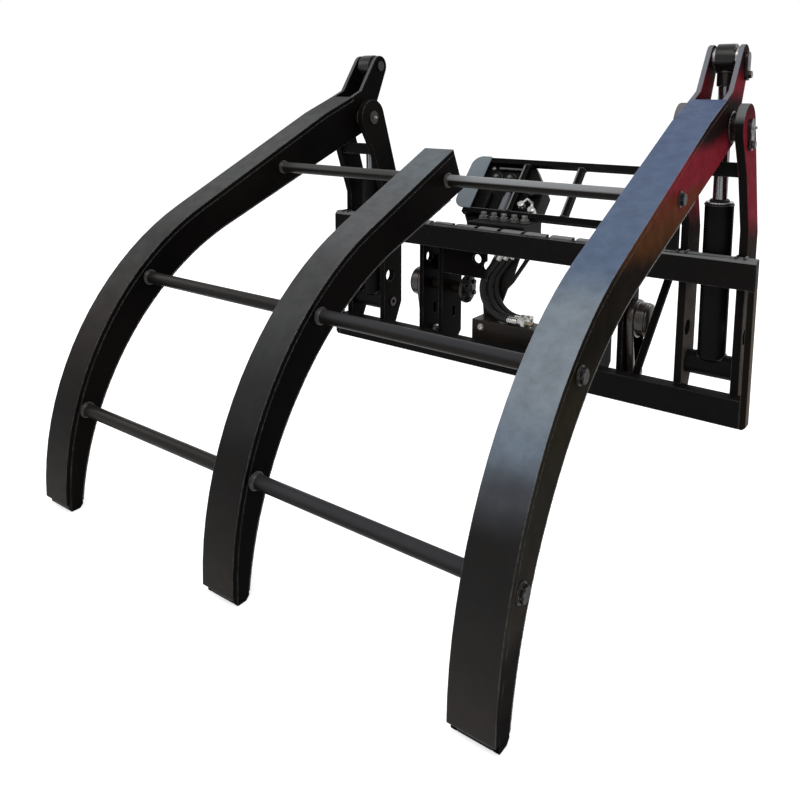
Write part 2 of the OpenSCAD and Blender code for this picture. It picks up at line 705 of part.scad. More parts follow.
// Rear lugs that take the carrier's shaft, with the hanger arms outside them
module lug_plate(x) difference() {
  x_plate(x, lug_plate_t, lug_line);
  x_rod(x - cut_over, lug_plate_t + 2 * cut_over, coupler, coupler_bore_d);
  x_rod(x - cut_over, lug_plate_t + 2 * cut_over, hanger, hanger_pin_d + 2 * pin_play);
  x_rod(x - cut_over, lug_plate_t + 2 * cut_over, lug_slot + [0, lug_slot_l / 2], lug_slot_d);
  x_rod(x - cut_over, lug_plate_t + 2 * cut_over, lug_slot - [0, lug_slot_l / 2], lug_slot_d);
  translate([x - cut_over, lug_slot[0] - lug_slot_d / 2, lug_slot[1] - lug_slot_l / 2])
    cube([lug_plate_t + 2 * cut_over, lug_slot_d, lug_slot_l]);
}
module lug_plates() {
  lug_plate(lug_at - lug_w / 2);
  difference() {
    lug_plate(lug_at + lug_gap / 2);
    x_rod(lug_at, lug_w, lug_bolt, lug_bolt_d + 2 * pin_play);
  }
}
module right_lug_plates() in_frame() color(BLACK) lug_plates();
module left_lug_plates() in_frame() color(BLACK) mirror([1, 0, 0]) lug_plates();
module lug_tie_plates() in_frame() color(BLACK) {
  mirrored() translate([lug_at - lug_gap / 2, tie_back, tie_low]) cube([lug_gap, tie_t, tie_h]);
  difference() {
    translate([lug_w / 2 - lug_at, bar_t, wing_low])
      cube([wing_w, tie_t, manifold_low - wing_low]);
    for (c = wing_hole) translate([c[0], bar_t - cut_over, wing_low + c[1]])
      rotate([-90, 0, 0])
      cylinder(h = tie_t + 2 * cut_over, d = wing_hole_d);
  }
}
lug_out = lug_at + lug_w / 2;
module hanger_arms() in_frame() color(SOFT_BLACK) mirrored() difference() {
  union() {
    x_plate(lug_out, hanger_t, hanger_outline);
    x_rod(lug_out + hanger_t, hub_t, hanger, hub_d);
  }
  x_rod(lug_out - cut_over, hanger_t + hub_t + 2 * cut_over, hanger, hanger_pin_d + 2 * pin_play);
  x_rod(lug_out - cut_over, hanger_t + 2 * cut_over, lug_bolt, lug_bolt_d + 2 * pin_play);
}
module hanger_pins() in_frame() color(SOFT_BLACK) mirrored() {
  x_rod(lug_at - lug_w / 2 - flange_reach, lug_w + flange_reach + hanger_t + hub_t + pin_end,
    hanger, hanger_pin_d);
  x_rod(lug_at - lug_w / 2 - flange_reach, flange_t, hanger, flange_d);
}
module lug_bolts() in_frame() color(STEEL) mirrored() {
  x_rod(lug_out + hanger_t, lug_head_t, lug_bolt, lug_head_d, 6);
  x_rod(lug_out - lug_plate_t - lug_head_t, lug_plate_t + hanger_t + lug_head_t,
    lug_bolt, lug_bolt_d);
}
module lug_nuts() in_frame() color(STEEL) mirrored() difference() {
  x_rod(lug_out - lug_plate_t - lug_head_t, lug_head_t, lug_bolt, lug_head_d, 6);
  x_rod(lug_out - lug_plate_t - lug_w, lug_w, lug_bolt, lug_bolt_d + 2 * pin_play);
}

// Hose shelf on two legs behind the bottom bar, and a strap up to the manifold
module shelf() in_frame() color(BLACK) translate([shelf_at - shelf_w / 2, shelf_front, 0]) {
  translate([0, 0, shelf_low]) cube([shelf_w, shelf_back - shelf_front, shelf_t]);
  translate([0, 0, shelf_low + shelf_t - shelf_lip]) cube([shelf_w, shelf_t, shelf_lip]);
}
leg_places = [shelf_at - shelf_w / 2 + leg_inset, shelf_at + shelf_w / 2 - leg_inset - leg_t];
module shelf_legs() in_frame() color(BLACK) {
  for (x = leg_places) x_plate(x, leg_t, leg_outline);
  y_plate(shelf_back, strap_t, strap_outline);
}
module shelf_bolts() in_frame() color(STEEL) for (x = leg_places)
  translate([x + leg_t / 2, shelf_front, shelf_low - shelf_bolt_in]) rotate([90, 0, 0])
    cylinder(h = shelf_bolt_d / 2, d = shelf_bolt_d + shelf_t, $fn = 6);
hose_rows = [for (i = [0 : hose_rows_n - 1]) hose_front + i * hose_pitch];
block_w = (hose_rows_n - 1) * hose_pitch + 2 * block_edge;
module manifold() in_frame() color(SOFT_BLACK)
  translate([manifold_left, bar_t, manifold_low])
    cube([manifold_l, shelf_back - bar_t, manifold_h]);
function hose_x(i) = hose_turn[0] + i * hose_step;
module hose_fittings() in_frame() color(STEEL) {
  for (i = [0 : hose_rows_n - 1]) let (x = hose_x(i) + hose_run)
    x_rod(x, block_left - x, [hose_rows[i], hose_low], fitting_d - fitting_play, 6);
  translate([block_left, hose_front - block_edge, shelf_low + shelf_t])
    cube([block_l, block_w, block_h]);
  x_rod(block_left + block_l, knob_l, [hose_front, hose_low], knob_d);
}
module hose(i) difference() {
  union() {
    x_rod(hose_x(i), hose_run, [hose_rows[i], hose_low], hose_d);
    translate([hose_x(i), hose_rows[i], hose_turn[1]]) rotate([90, 0, 0])
      rotate([0, 0, 180 - hose_lift]) rotate_extrude(angle = 90 + hose_lift)
        translate([hose_bend_r, 0]) circle(d = hose_d);
    translate([hose_x(i) - hose_bend_r * cos(hose_lift), hose_rows[i], hose_bend_top])
      rotate([0, hose_lift, 0])
      cylinder(h = hose_rise, d = hose_d);
  }
  translate([manifold_left, bar_t, manifold_low])
    cube([manifold_l, shelf_back - bar_t, manifold_low]);
}
module supply_hoses() in_frame() color("#111111") for (i = [0 : hose_rows_n - 1]) hose(i);
module stay_bar() in_frame() color(SOFT_BLACK) y_plate(bar_t, stay_t, stay_outline);

// Guard above the frame
module on_guard()
  translate([guard_centre, guard_back, guard_h]) rotate([-guard_lean, 0, 0]) children();
module guard_rail(h) translate([guard_plate_r - guard_w / 2, -rail / 2, h - rail / 2])
  cube([guard_w - guard_plate_r, rail, rail]);
module guard_lower_rail() in_frame() color(BLACK) on_guard() guard_rail(0);
module guard_top_rail() in_frame() color(BLACK) on_guard() guard_rail(guard_rise);
module guard_posts() in_frame() color(BLACK) on_guard() for (x = post_places)
  translate([x - post_w / 2, -rail / 2, rail / 2]) cube([post_w, rail, guard_rise - rail]);
module valve_block() in_frame() color(SOFT_BLACK) on_guard()
  y_plate(rail / 2, valve_t, valve_outline);
guard_plate_h = guard_rise + guard_plate_lap;
module guard_end_plate() in_frame() color("#8b9097") on_guard()
  translate([-guard_w / 2, -rail / 2, rail / 2 - guard_plate_lap]) y_plate(-guard_plate_t, guard_plate_t, concat(
    ring([guard_plate_r, guard_plate_r], guard_plate_r, 270, 180, turn_steps),
    ring([guard_plate_r, guard_plate_h - guard_plate_r], guard_plate_r, 180, 90, turn_steps),
    [[guard_plate_w, guard_plate_h], [guard_plate_w, 0]]));
module guard_brackets() in_frame() color(BLACK) for (x = bracket_places)
  x_plate(x, bracket_t, bracket_outline);

top_bar();
bottom_bar();
uprights();
left_mast_plates();
right_mast_plates();
mast_gussets();
pivot_pins();
pivot_pin_bolts();
base_pins();
left_lug_plates();
right_lug_plates();
lug_tie_plates();
lug_bolts();
lug_nuts();
hanger_arms();
hanger_pins();
shelf();
shelf_legs();
shelf_bolts();
manifold();
valve_block();
hose_fittings();
supply_hoses();
stay_bar();
guard_top_rail();
guard_lower_rail();
guard_posts();
guard_end_plate();
guard_brackets();
left_tine_sides();
left_tine_front();
left_tine_rear();
centre_tine_sides();
centre_tine_front();
centre_tine_rear();
centre_tine_cap();
right_tine_sides();
right_tine_front();
right_tine_rear();
tip_blocks();
upper_rod();
middle_rod();
lower_rod();
rod_collars();
rod_bolts();
pivot_tubes();
pivot_bushes();
ear_pins();
ear_pin_bolts();
eye_washers();
left_barrel();
left_gland();
left_piston_rod();
left_piston();
left_rod_eye();
right_barrel();
right_gland();
right_piston_rod();
right_piston();
right_rod_eye();
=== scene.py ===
"""Forklift grapple: plates, welds, bolts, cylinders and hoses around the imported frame."""
from math import atan2, cos, pi, radians, sin, tan

import bmesh
import bpy
from bpy.props import FloatProperty, FloatVectorProperty, PointerProperty
from mathutils import Matrix, Vector, noise


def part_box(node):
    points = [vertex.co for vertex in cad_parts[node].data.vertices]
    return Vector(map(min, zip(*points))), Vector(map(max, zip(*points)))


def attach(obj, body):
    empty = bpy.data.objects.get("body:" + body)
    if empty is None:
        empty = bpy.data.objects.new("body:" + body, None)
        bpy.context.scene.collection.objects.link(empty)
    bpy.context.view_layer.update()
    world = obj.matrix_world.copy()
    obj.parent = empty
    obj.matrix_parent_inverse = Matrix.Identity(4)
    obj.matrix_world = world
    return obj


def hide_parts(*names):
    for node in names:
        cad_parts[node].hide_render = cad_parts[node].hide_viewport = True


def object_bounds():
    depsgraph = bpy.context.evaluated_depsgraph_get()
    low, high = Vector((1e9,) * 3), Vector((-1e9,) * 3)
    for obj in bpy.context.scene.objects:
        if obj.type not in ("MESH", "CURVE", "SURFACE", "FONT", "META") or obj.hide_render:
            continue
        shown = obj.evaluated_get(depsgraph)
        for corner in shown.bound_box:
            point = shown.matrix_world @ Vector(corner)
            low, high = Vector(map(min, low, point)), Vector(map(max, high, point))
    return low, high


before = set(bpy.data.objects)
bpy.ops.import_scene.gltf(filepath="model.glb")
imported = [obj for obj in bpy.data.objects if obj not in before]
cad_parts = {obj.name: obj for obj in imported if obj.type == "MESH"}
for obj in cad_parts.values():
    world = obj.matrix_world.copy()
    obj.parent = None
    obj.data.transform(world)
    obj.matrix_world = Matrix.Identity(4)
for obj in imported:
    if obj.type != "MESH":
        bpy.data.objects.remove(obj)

bl_info = {
    "name": "Forklift grapple",
    "version": (1, 0, 0),
    "blender": (4, 5, 0),
    "location": "View3D > Sidebar > Grapple",
    "description": "Builds the grapple's plates, welds, bolts, cylinders and hoses",
    "category": "Object",
}

CAD_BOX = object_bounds()
MM = 0.001
X, Y, Z = Vector((1, 0, 0)), Vector((0, 1, 0)), Vector((0, 0, 1))
# Places of the tines along X and half their width, in mm
TINES = {"left": -540, "centre": 0, "right": 540}
HALF_TINE = 41.5
# Angles between faces, in degrees, from which an edge is sharp
CREASE, PLATE_CREASE, ROUND_CREASE = 35, 40, 80
# For the frame's plates: distance in m at which corners are one, angles in degrees
# below which faces are one and above which an edge is rounded, and the share of the
# normal along X from which a face is a side
SAME_SPOT, FLAT, ROUNDED, SIDEWAYS = 2e-6, 0.6, 32, 0.7
# Weld beads: steps per ripple, mean radius, and heights of ripples and of the uneven toe
# as shares of the radius, waves of the toe per metre, corners round a bead and in a ring
BEAD_STEP, BEAD_MEAN, RIPPLE, TOE, TOE_WAVES = 0.36, 0.86, 0.2, 0.16, 160
BEAD_SIDES, RING_STEPS = 8, 40


# Sizes and colours

def length(name, text, default):
    """A size in metres, given in millimetres."""
    return FloatProperty(name=name, description=text, default=default * MM,
                         min=0, unit="LENGTH")


def colour(name, text, default):
    """A colour of the finish, in linear light."""
    return FloatVectorProperty(name=name, description=text, default=default, min=0,
                               max=1, subtype="COLOR")


def power(name, text, default, unit="POWER"):
    """A lamp's power, or a strength with no unit."""
    return FloatProperty(name=name, description=text, default=default, min=0, unit=unit)


class GrappleSizes(bpy.types.PropertyGroup):
    """Sizes of the details that the frame leaves to the dressing"""
    edge_round: length("Edge round", "Rounding of the cut plates' edges", 1.6)
    cast_round: length("Casting round", "Rounding of the hanger arms' edges", 5)
    seam_weld: length("Seam weld", "Radius of the beads along the tines", 4.2)
    edge_weld: length("Edge weld", "Radius of the beads on the tines' rear corners", 2.7)
    joint_weld: length("Joint weld", "Radius of the beads between plates", 4.6)
    ripple: length("Ripple pitch", "Distance between two ripples of a bead", 5)
    hose_pitch: length("Hose lay", "Distance between two turns of the hose's cover", 7)
    rod_bolt_flats: length("Rod bolt", "Width over the flats of the rods' bolts", 24)
    flag_bolt_flats: length("Flag bolt", "Width over the flats of the flags' bolts", 17)


class GrappleColours(bpy.types.PropertyGroup):
    """Colours of the paint, steel and rubber, and of the reflections painted on them"""
    black: colour("Black", "Gloss black of the tines and the frame", (0.0055, 0.0048, 0.0045))
    brown: colour("Warm black", "Warm patches in the black", (0.017, 0.013, 0.0105))
    # sky, slate, ash and wine are painted reflections: on the tine fronts, and for wine on the
    # right side and the masts
    sky_reflection: colour("Blue grey", "Blue-grey of the right tine's upper face", (0.066, 0.096, 0.180))
    slate_reflection: colour("Slate", "Grey of the right tine's middle", (0.185, 0.215, 0.242))
    ash_reflection: colour("Ash", "Grey of the centre tine's upper face", (0.115, 0.132, 0.140))
    wine_reflection: colour("Wine", "Red-brown of the right side's upper part", (0.215, 0.014, 0.024))
    bare: colour("Bare steel", "Metal where the paint has worn off", (0.42, 0.41, 0.40))
    guard: colour("Guard grey", "Blue-grey of the guard's end plate", (0.175, 0.205, 0.225))
    rubber: colour("Rubber", "Cover of the supply hoses", (0.008, 0.008, 0.009))
    brass: colour("Brass", "Stem of the knob on the shelf", (0.30, 0.255, 0.175))


class GrappleLight(bpy.types.PropertyGroup):
    """Levels of the studio light"""
    key: power("Key", "Power of the large lamp above the tines", 72)
    side: power("Side", "Power of the lamp at the left", 26)
    rear: power("Rear", "Power of the lamp behind the frame", 34)
    world: power("World", "Strength of the even light", 0.6, "NONE")


# Places

def place(x, y, z):
    """A point given in mm from the frame's front face and datum, as the frame has it."""
    return Vector((x, y - 62, z - 288)) * MM


def solids(node):
    """Lowest corner, highest corner and middle of each separate solid of a node."""
    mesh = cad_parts[node].data
    home, parent = {}, []

    def root(i):
        while parent[i] != i:
            i = parent[i]
        return i

    spots = []
    for vertex in mesh.vertices:
        key = tuple(round(c, 6) for c in vertex.co)
        if key not in home:
            home[key] = len(parent)
            parent.append(len(parent))
        spots.append(home[key])
    for edge in mesh.edges:
        a, b = root(spots[edge.vertices[0]]), root(spots[edge.vertices[1]])
        parent[max(a, b)] = min(a, b)
    boxes = {}
    for vertex, spot in zip(mesh.vertices, spots):
        boxes.setdefault(root(spot), []).append(vertex.co)
    corners = [(Vector(map(min, *found)), Vector(map(max, *found)))
               for found in boxes.values()]
    return [(low, high, (low + high) / 2)
            for low, high in sorted(corners, key=lambda pair: tuple(pair[0]))]


def at_x(x, point):
    """The point moved along X."""
    return Vector((x, point.y, point.z))


def outward(low, high):
    """Side of the middle that a solid lies on, and its outer and inner x."""
    return (1, high.x, low.x) if low.x > 0 else (-1, low.x, high.x)


# Mesh making

def link(name, mesh, body, looks, replaced=()):
    """Puts a mesh into the scene, on its body, with its finishes."""
    piece = bpy.data.objects.new(name, mesh)
    bpy.context.scene.collection.objects.link(piece)
    for look in looks:
        mesh.materials.append(finish(look))
    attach(piece, body)
    if replaced:
        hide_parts(*replaced)
    return piece


def mesh_of(name, bm, sharp):
    """Mesh with smooth faces and sharp edges over the given angle."""
    bmesh.ops.recalc_face_normals(bm, faces=bm.faces)
    mesh = bpy.data.meshes.new(name)
    bm.to_mesh(mesh)
    bm.free()
    mesh.shade_smooth()
    mesh.set_sharp_from_angle(angle=radians(sharp))
    return mesh


def shape(name, bm, body, look, replaced=(), sharp=None):
    """Makes a piece of what bm holds; beads are smooth nearly all over."""
    sharp = sharp or (ROUND_CREASE if look.startswith("weld") else CREASE)
    link(name, mesh_of(name, bm, sharp), body, [look], replaced)


def pour(part, bm):
    """Adds one bmesh to another and frees it."""
    mesh = bpy.data.meshes.new("part")
    part.to_mesh(mesh)
    part.free()
    bm.from_mesh(mesh)
    bpy.data.meshes.remove(mesh)


def dressed(name, nodes, body, looks, rounding, steps=2):
    """The nodes' own plates with rounded edges, in one piece that stands for them.

    With two looks, the second is for the faces that look along X.
    """
    bm = bmesh.new()
    for node in nodes:
        part = bmesh.new()
        part.from_mesh(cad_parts[node].data)
        bmesh.ops.remove_doubles(part, verts=part.verts, dist=SAME_SPOT)
        bmesh.ops.dissolve_limit(part, angle_limit=radians(FLAT), verts=part.verts,
            edges=part.edges)
        edges = [edge for edge in part.edges if len(edge.link_faces) == 2
                 and edge.calc_face_angle(0) > radians(ROUNDED)]
        bmesh.ops.bevel(part, geom=edges, offset=rounding, segments=steps, profile=0.5,
            affect="EDGES", clamp_overlap=False)
        pour(part, bm)
    mesh = mesh_of(name, bm, PLATE_CREASE)
    for face in mesh.polygons:
        sideways = abs(face.normal.x) > SIDEWAYS
        face.material_index = 1 if sideways and len(looks) > 1 else 0
    piece = link(name, mesh, body, looks, nodes)
    piece.modifiers.new("even_light", "WEIGHTED_NORMAL").keep_sharp = True


def frame_of(axis):
    """Two directions across an axis."""
    across = axis.cross(Z if abs(axis.z) < 0.9 else X).normalized()
    return across, axis.cross(across).normalized()


def strip(bm, low, high):
    """Faces between two rings of corners."""
    for i in range(len(low)):
        j = (i + 1) % len(low)
        bm.faces.new((low[i], low[j], high[j], high[i]))


def turn(bm, start, axis, profile, steps=40, flat_share=0):
    """Turns a profile of (distance, radius) pairs; with flats it makes a hexagon."""
    axis = axis.normalized()
    u, v = frame_of(axis)
    rings = []
    for along_axis, radius in profile:
        centre = start + axis * along_axis
        if radius <= 0:
            rings.append([bm.verts.new(centre)])
            continue
        ring = []
        for i in range(steps):
            angle = 2 * pi * i / steps
            reach = radius
            if flat_share:
                reach = min(radius, flat_share / cos(angle % (pi / 3) - pi / 6))
            ring.append(bm.verts.new(centre + (u * cos(angle) + v * sin(angle)) * reach))
        rings.append(ring)
    for low, high in zip(rings, rings[1:]):
        if len(low) == 1 or len(high) == 1:
            point, ring = (low[0], high) if len(low) == 1 else (high[0], low)
            for i in range(steps):
                bm.faces.new((point, ring[i], ring[(i + 1) % steps]))
        else:
            strip(bm, low, high)


def hex_head(bm, start, axis, flats, height):
    """Bolt head: six flats, a round chamfer and a shallow crown."""
    half = flats / 2
    corner = half / cos(pi / 6)
    turn(bm, start, axis, [(0, 0), (0, corner), (height * 0.74, corner),
                           (height * 0.9, half * 1.05), (height, half * 0.93),
                           (height * 0.96, half * 0.62), (height * 0.96, 0)], 48, half)


def washer(bm, start, axis, radius, thickness):
    """Flat washer with broken edges."""
    edge = thickness * 0.25
    turn(bm, start, axis, [(0, 0), (0, radius - edge), (edge, radius),
                           (thickness - edge, radius), (thickness, radius - edge),
                           (thickness, 0)])


def bolt(bm, start, axis, flats, height, ring, thickness):
    """Head on its washer; start is on the face that carries it."""
    washer(bm, start, axis, ring, thickness)
    hex_head(bm, start + axis * thickness, axis, flats, height)


def sweep(bm, points, radius_at, sides, closed=False):
    """Tube along points; radius_at(distance, angle) gives its radius."""
    count = len(points)
    u = None
    rings, gone = [], 0
    for i, point in enumerate(points):
        before = points[i - 1] if i or closed else point
        after = points[(i + 1) % count] if i < count - 1 or closed else point
        heading = (after - before).normalized()
        if u is None:
            u = frame_of(heading)[0]
        u = (u - heading * u.dot(heading)).normalized()
        v = heading.cross(u)
        if i:
            gone += (point - points[i - 1]).length
        rings.append([bm.verts.new(point + (u * cos(a) + v * sin(a)) * radius_at(gone, a))
                      for a in (2 * pi * k / sides for k in range(sides))])
    for low, high in zip(rings, rings[1:]):
        strip(bm, low, high)
    if closed:
        strip(bm, rings[-1], rings[0])
    else:
        bm.faces.new(rings[0][::-1])
        bm.faces.new(rings[-1])


def spaced(points, step, closed=False):
    """The same line with points at an even distance."""
    line = points + [points[0]] if closed else points
    lengths = [(b - a).length for a, b in zip(line, line[1:])]
    total = sum(lengths)
    count = max(3, int(total / step))
    out, leg, gone = [], 0, 0
    for i in range(count if closed else count + 1):
        target = total * i / count
        while leg < len(lengths) - 1 and gone + lengths[leg] < target:
            gone += lengths[leg]
            leg += 1
        share = (target - gone) / lengths[leg] if lengths[leg] else 0
        out.append(line[leg].lerp(line[leg + 1], min(1, share)))
    return out


def bead(bm, points, radius, closed=False):
    """Weld bead with ripples and a slightly uneven toe."""
    pitch = bpy.context.scene.grapple_sizes.ripple
    line = spaced(points, pitch * BEAD_STEP, closed)
    start = line[0] * 90

    def radius_at(gone, angle):
        ripple = abs(sin(pi * gone / pitch)) * RIPPLE
        spot = start + Vector((gone * TOE_WAVES, cos(angle), sin(angle)))
        return radius * (BEAD_MEAN + ripple + noise.noise(spot) * TOE)

    sweep(bm, line, radius_at, BEAD_SIDES, closed)


def bead_ring(bm, centre, axis, ring_radius, radius):
    """Bead round a tube or a bar."""
    u, v = frame_of(axis)
    points = [centre + (u * cos(a) + v * sin(a)) * ring_radius
              for a in (2 * pi * i / RING_STEPS for i in range(RING_STEPS))]
    bead(bm, points, radius, True)


def plate_beads(bm, x, rows):
    """Beads in the plane at x: two (y, z) places in mm and a share of the radius."""
    radius = bpy.context.scene.grapple_sizes.joint_weld
    for start, end, share in rows:
        bead(bm, [place(x, *start), place(x, *end)], radius * share)


# Finishes

class Tree:
    """A node tree, with short names for what is done to it."""

    def __init__(self, owner, output):
        owner.use_nodes = True
        self.tree = owner.node_tree
        self.tree.nodes.clear()
        self.output = self.add(output)

    def add(self, kind, settings=None, **inputs):
        """A node with its settings, and with what goes into its inputs."""
        node = self.tree.nodes.new("ShaderNode" + kind)
        for key, value in (settings or {}).items():
            setattr(node, key, value)
        self.feed(node, **inputs)
        return node

    def feed(self, node, **inputs):
        """Gives inputs a number or another node's output; _ is a space in a name."""
        for name, value in inputs.items():
            self.put(value, node.inputs[name.replace("_", " ")])

    def put(self, value, socket):
        if isinstance(value, bpy.types.NodeSocket):
            self.tree.links.new(value, socket)
        else:
            socket.default_value = value

    def maths(self, operation, a, b=0):
        node = self.add("Math", {"operation": operation})
        self.put(a, node.inputs[0])
        self.put(b, node.inputs[1])
        return node.outputs[0]

    def seen_or_lit(self, seen, lit):
        """One shader for rays that end in the picture, another for the light."""
        path = self.add("LightPath").outputs
        mirrored = self.maths("MAXIMUM", path["Is Glossy Ray"], path["Is Transmission Ray"])
        pick = self.add("MixShader")
        self.put(self.maths("MAXIMUM", path["Is Camera Ray"], mirrored), pick.inputs[0])
        self.put(lit.outputs[0], pick.inputs[1])
        self.put(seen.outputs[0], pick.inputs[2])
        return pick.outputs[0]


class Finish(Tree):
    """A material under construction."""

    def __init__(self, name):
        self.material = bpy.data.materials.new(name)
        super().__init__(self.material, "OutputMaterial")
        self.shader = self.add("BsdfPrincipled")
        self.feed(self.output, Surface=self.shader.outputs[0])
        self.spot = self.add("TexCoord").outputs["Object"]

    def set(self, **inputs):
        self.feed(self.shader, **inputs)

    def noise(self, scale, detail=4, roughness=0.55, stretch=None):
        spot = self.spot
        if stretch:
            spot = self.add("Mapping", Vector=spot, Scale=stretch).outputs[0]
        return self.add("TexNoise", Vector=spot, Scale=scale, Detail=detail,
                        Roughness=roughness).outputs["Fac"]

    def range(self, value, low, high, to_low=0.0, to_high=1.0):
        return self.add("MapRange", Value=value, From_Min=low, From_Max=high,
                        To_Min=to_low, To_Max=to_high).outputs[0]

    def part(self, vector, axis):
        """One component of a vector."""
        return self.add("SeparateXYZ", Vector=vector).outputs[axis]

    def facing(self, axis):
        """How far the surface looks along an axis of its own."""
        return self.part(self.add("TexCoord").outputs["Normal"], axis)

    def mix(self, factor, a, b):
        node = self.add("Mix", {"data_type": "RGBA"}, Factor=factor)
        for name, value in (("A", a), ("B", b)):
            if not isinstance(value, bpy.types.NodeSocket):
                value = (*tuple(value)[:3], 1)
            self.put(value, [s for s in node.inputs if s.name == name and s.type == "RGBA"][0])
        return [s for s in node.outputs if s.type == "RGBA"][0]

    def worn_edge(self, radius):
        """1 on outside edges, 0 on flats."""
        dot = self.add("VectorMath", {"operation": "DOT_PRODUCT"})
        self.put(self.add("Bevel", {"samples": 4}, Radius=radius).outputs[0], dot.inputs[0])
        self.put(self.add("NewGeometry").outputs["Normal"], dot.inputs[1])
        return self.range(dot.outputs["Value"], 0.985, 0.86)

    def bump(self, height, strength, distance):
        return self.add("Bump", Height=height, Strength=strength, Distance=distance).outputs[0]


def reflections_by_height(made, reflection_bands, large, small):
    """Painted reflection and shade that change with the height, with darker patches."""
    lowest, highest = reflection_bands[0][0], reflection_bands[-1][0]
    wavering = made.maths("ADD", made.part(made.spot, "Z"),
                          made.range(large, 0.3, 0.7, -0.025, 0.025))
    ramp = made.add("ValToRGB", Fac=made.range(wavering, lowest, highest))
    ramp.color_ramp.interpolation = "EASE"
    while len(ramp.color_ramp.elements) < len(reflection_bands):
        ramp.color_ramp.elements.new(0.5)
    for element, (height, tint) in zip(ramp.color_ramp.elements, reflection_bands):
        element.position = (height - lowest) / (highest - lowest)
        element.color = (*tint[:3], 1)
    ground = ramp.outputs["Color"]
    darker = made.add("HueSaturation", Value=0.72, Color=ground)
    return made.mix(made.range(small, 0.38, 0.72), ground, darker.outputs[0])


def paint(name, base, patches, gloss=0.3, level=0.2, wear=0.7, reflection_bands=None, coat=0.0,
          rim=None, crown=None, stripes=None, dust=0.07):
    """Sprayed enamel: orange peel, dust, patches, and steel at rubbed edges.

    bands are (height, colour) pairs of painted reflection and shade that tint it from
    the bottom up. rim is a colour of painted light and shade for the plates' narrow cut
    faces, and the heights between which it comes in. crown is a painted highlight on
    what looks up: colours at the left and right, upward shares of the normal between
    which it comes in, and the height from which it does. stripes are painted highlights
    in lines along X: their places, a half width and a colour.
    """
    made = Finish(name)
    large = made.noise(2.6, 3)
    small = made.noise(34, 6, 0.65)
    fine = made.noise(620, 2, 0.4)
    scratch = made.noise(26, 3, 0.7, (1.0, 9.0, 0.6))
    # painted reflection and shade, by height
    if reflection_bands:
        tinted = reflections_by_height(made, reflection_bands, large, small)
    else:
        tinted = made.mix(made.range(large, 0.38, 0.68), base, patches)
    # painted light and shade: the narrow faces take a colour of their own
    if rim:
        tint, low, high = rim
        narrow = made.range(made.maths("ABSOLUTE", made.facing("X")), 0.75, 0.35)
        share = made.maths("MULTIPLY", narrow, made.range(made.part(made.spot, "Z"), low, high))
        tinted = made.mix(share, tinted, tint)
    # painted highlight: faces that look up are lightened, more to one side along X
    if crown:
        left, right, low, high, height_from = crown
        share = made.maths("MULTIPLY", made.range(made.facing("Z"), low, high),
                           made.range(made.part(made.spot, "Z"), height_from - 0.01,
                                      height_from))
        across = made.mix(made.range(made.part(made.spot, "X"), -0.12, 0.12), left, right)
        tinted = made.mix(share, tinted, across)
    # painted highlight: narrow lines along X are lightened
    if stripes:
        places, half, tint = stripes
        for x in places:
            away = made.maths("ABSOLUTE",
                              made.maths("SUBTRACT", made.part(made.spot, "X"), x))
            tinted = made.mix(made.range(away, half, half * 0.6), tinted, tint)
    # dust over the paint and over its painted light and shade
    dust_and_painted_light = made.mix(made.range(small, 0.56, 0.78, 0, dust), tinted, (0.10, 0.092, 0.083))
    rubbed = made.maths("MULTIPLY", made.range(scratch, 0.42, 0.62, 0.3, 1),
                        made.maths("MULTIPLY", made.worn_edge(0.0022), wear))
    rough = made.maths("ADD", made.range(small, 0.3, 0.75, gloss - 0.06, gloss + 0.12),
                       made.range(scratch, 0.6, 0.8, 0, 0.1))
    height = made.maths("ADD", made.maths("MULTIPLY", fine, 0.35),
                        made.maths("MULTIPLY", small, 0.65))
    made.set(Base_Color=made.mix(rubbed, dust_and_painted_light, bpy.context.scene.grapple_colours.bare),
             Roughness=rough, Metallic=made.range(rubbed, 0.25, 0.9, 0, 0.85),
             Normal=made.bump(height, 0.16, 0.0009), Specular_IOR_Level=level,
             Coat_Weight=coat, Coat_Roughness=0.12)
    return made.material


def metal(name, base, dirt, gloss=0.28, brushed=(1, 1, 1), dirty=0.5):
    """Plated or turned steel with fine tool marks and dirt in places."""
    made = Finish(name)
    cloud = made.noise(60, 5, 0.6)
    marks = made.noise(240, 2, 0.5, brushed)
    grime = made.range(cloud, 0.46, 0.7, 0, dirty)
    made.set(Base_Color=made.mix(grime, base, dirt),
             Roughness=made.range(cloud, 0.3, 0.7, gloss - 0.07, gloss + 0.16),
             Metallic=made.range(grime, 0, 1, 0.95, 0.35),
             Normal=made.bump(marks, 0.12, 0.0004))
    return made.material


def rubber_cover(name, base):
    """Wrapped hose cover: cloth marks, chalky patches."""
    made = Finish(name)
    cloud = made.noise(45, 5, 0.6)
    weave = made.add("TexVoronoi", Scale=900, Vector=made.spot)
    chalky = made.range(cloud, 0.45, 0.75, 0, 0.4)
    made.set(Base_Color=made.mix(chalky, base, (0.032, 0.031, 0.03)),
             Roughness=made.range(cloud, 0.3, 0.7, 0.42, 0.62),
             Normal=made.bump(weave.outputs["Distance"], 0.35, 0.0006),
             Specular_IOR_Level=0.2)
    return made.material


def weld_metal(name, base, shine):
    """Painted bead with bright spatter and pits."""
    made = Finish(name)
    specks = made.noise(330, 3, 0.7)
    cloud = made.noise(60, 4, 0.6)
    bright = made.maths("MULTIPLY", made.range(specks, 0.52, 0.66),
                        made.range(cloud, 0.36, 0.62))
    made.set(Base_Color=made.mix(bright, base, shine),
             Roughness=made.range(bright, 0, 1, 0.3, 0.42),
             Metallic=made.range(bright, 0, 1, 0, 0.7),
             Normal=made.bump(specks, 0.6, 0.0012), Specular_IOR_Level=0.4)
    return made.material


def grey(shade):
    return shade, shade, shade


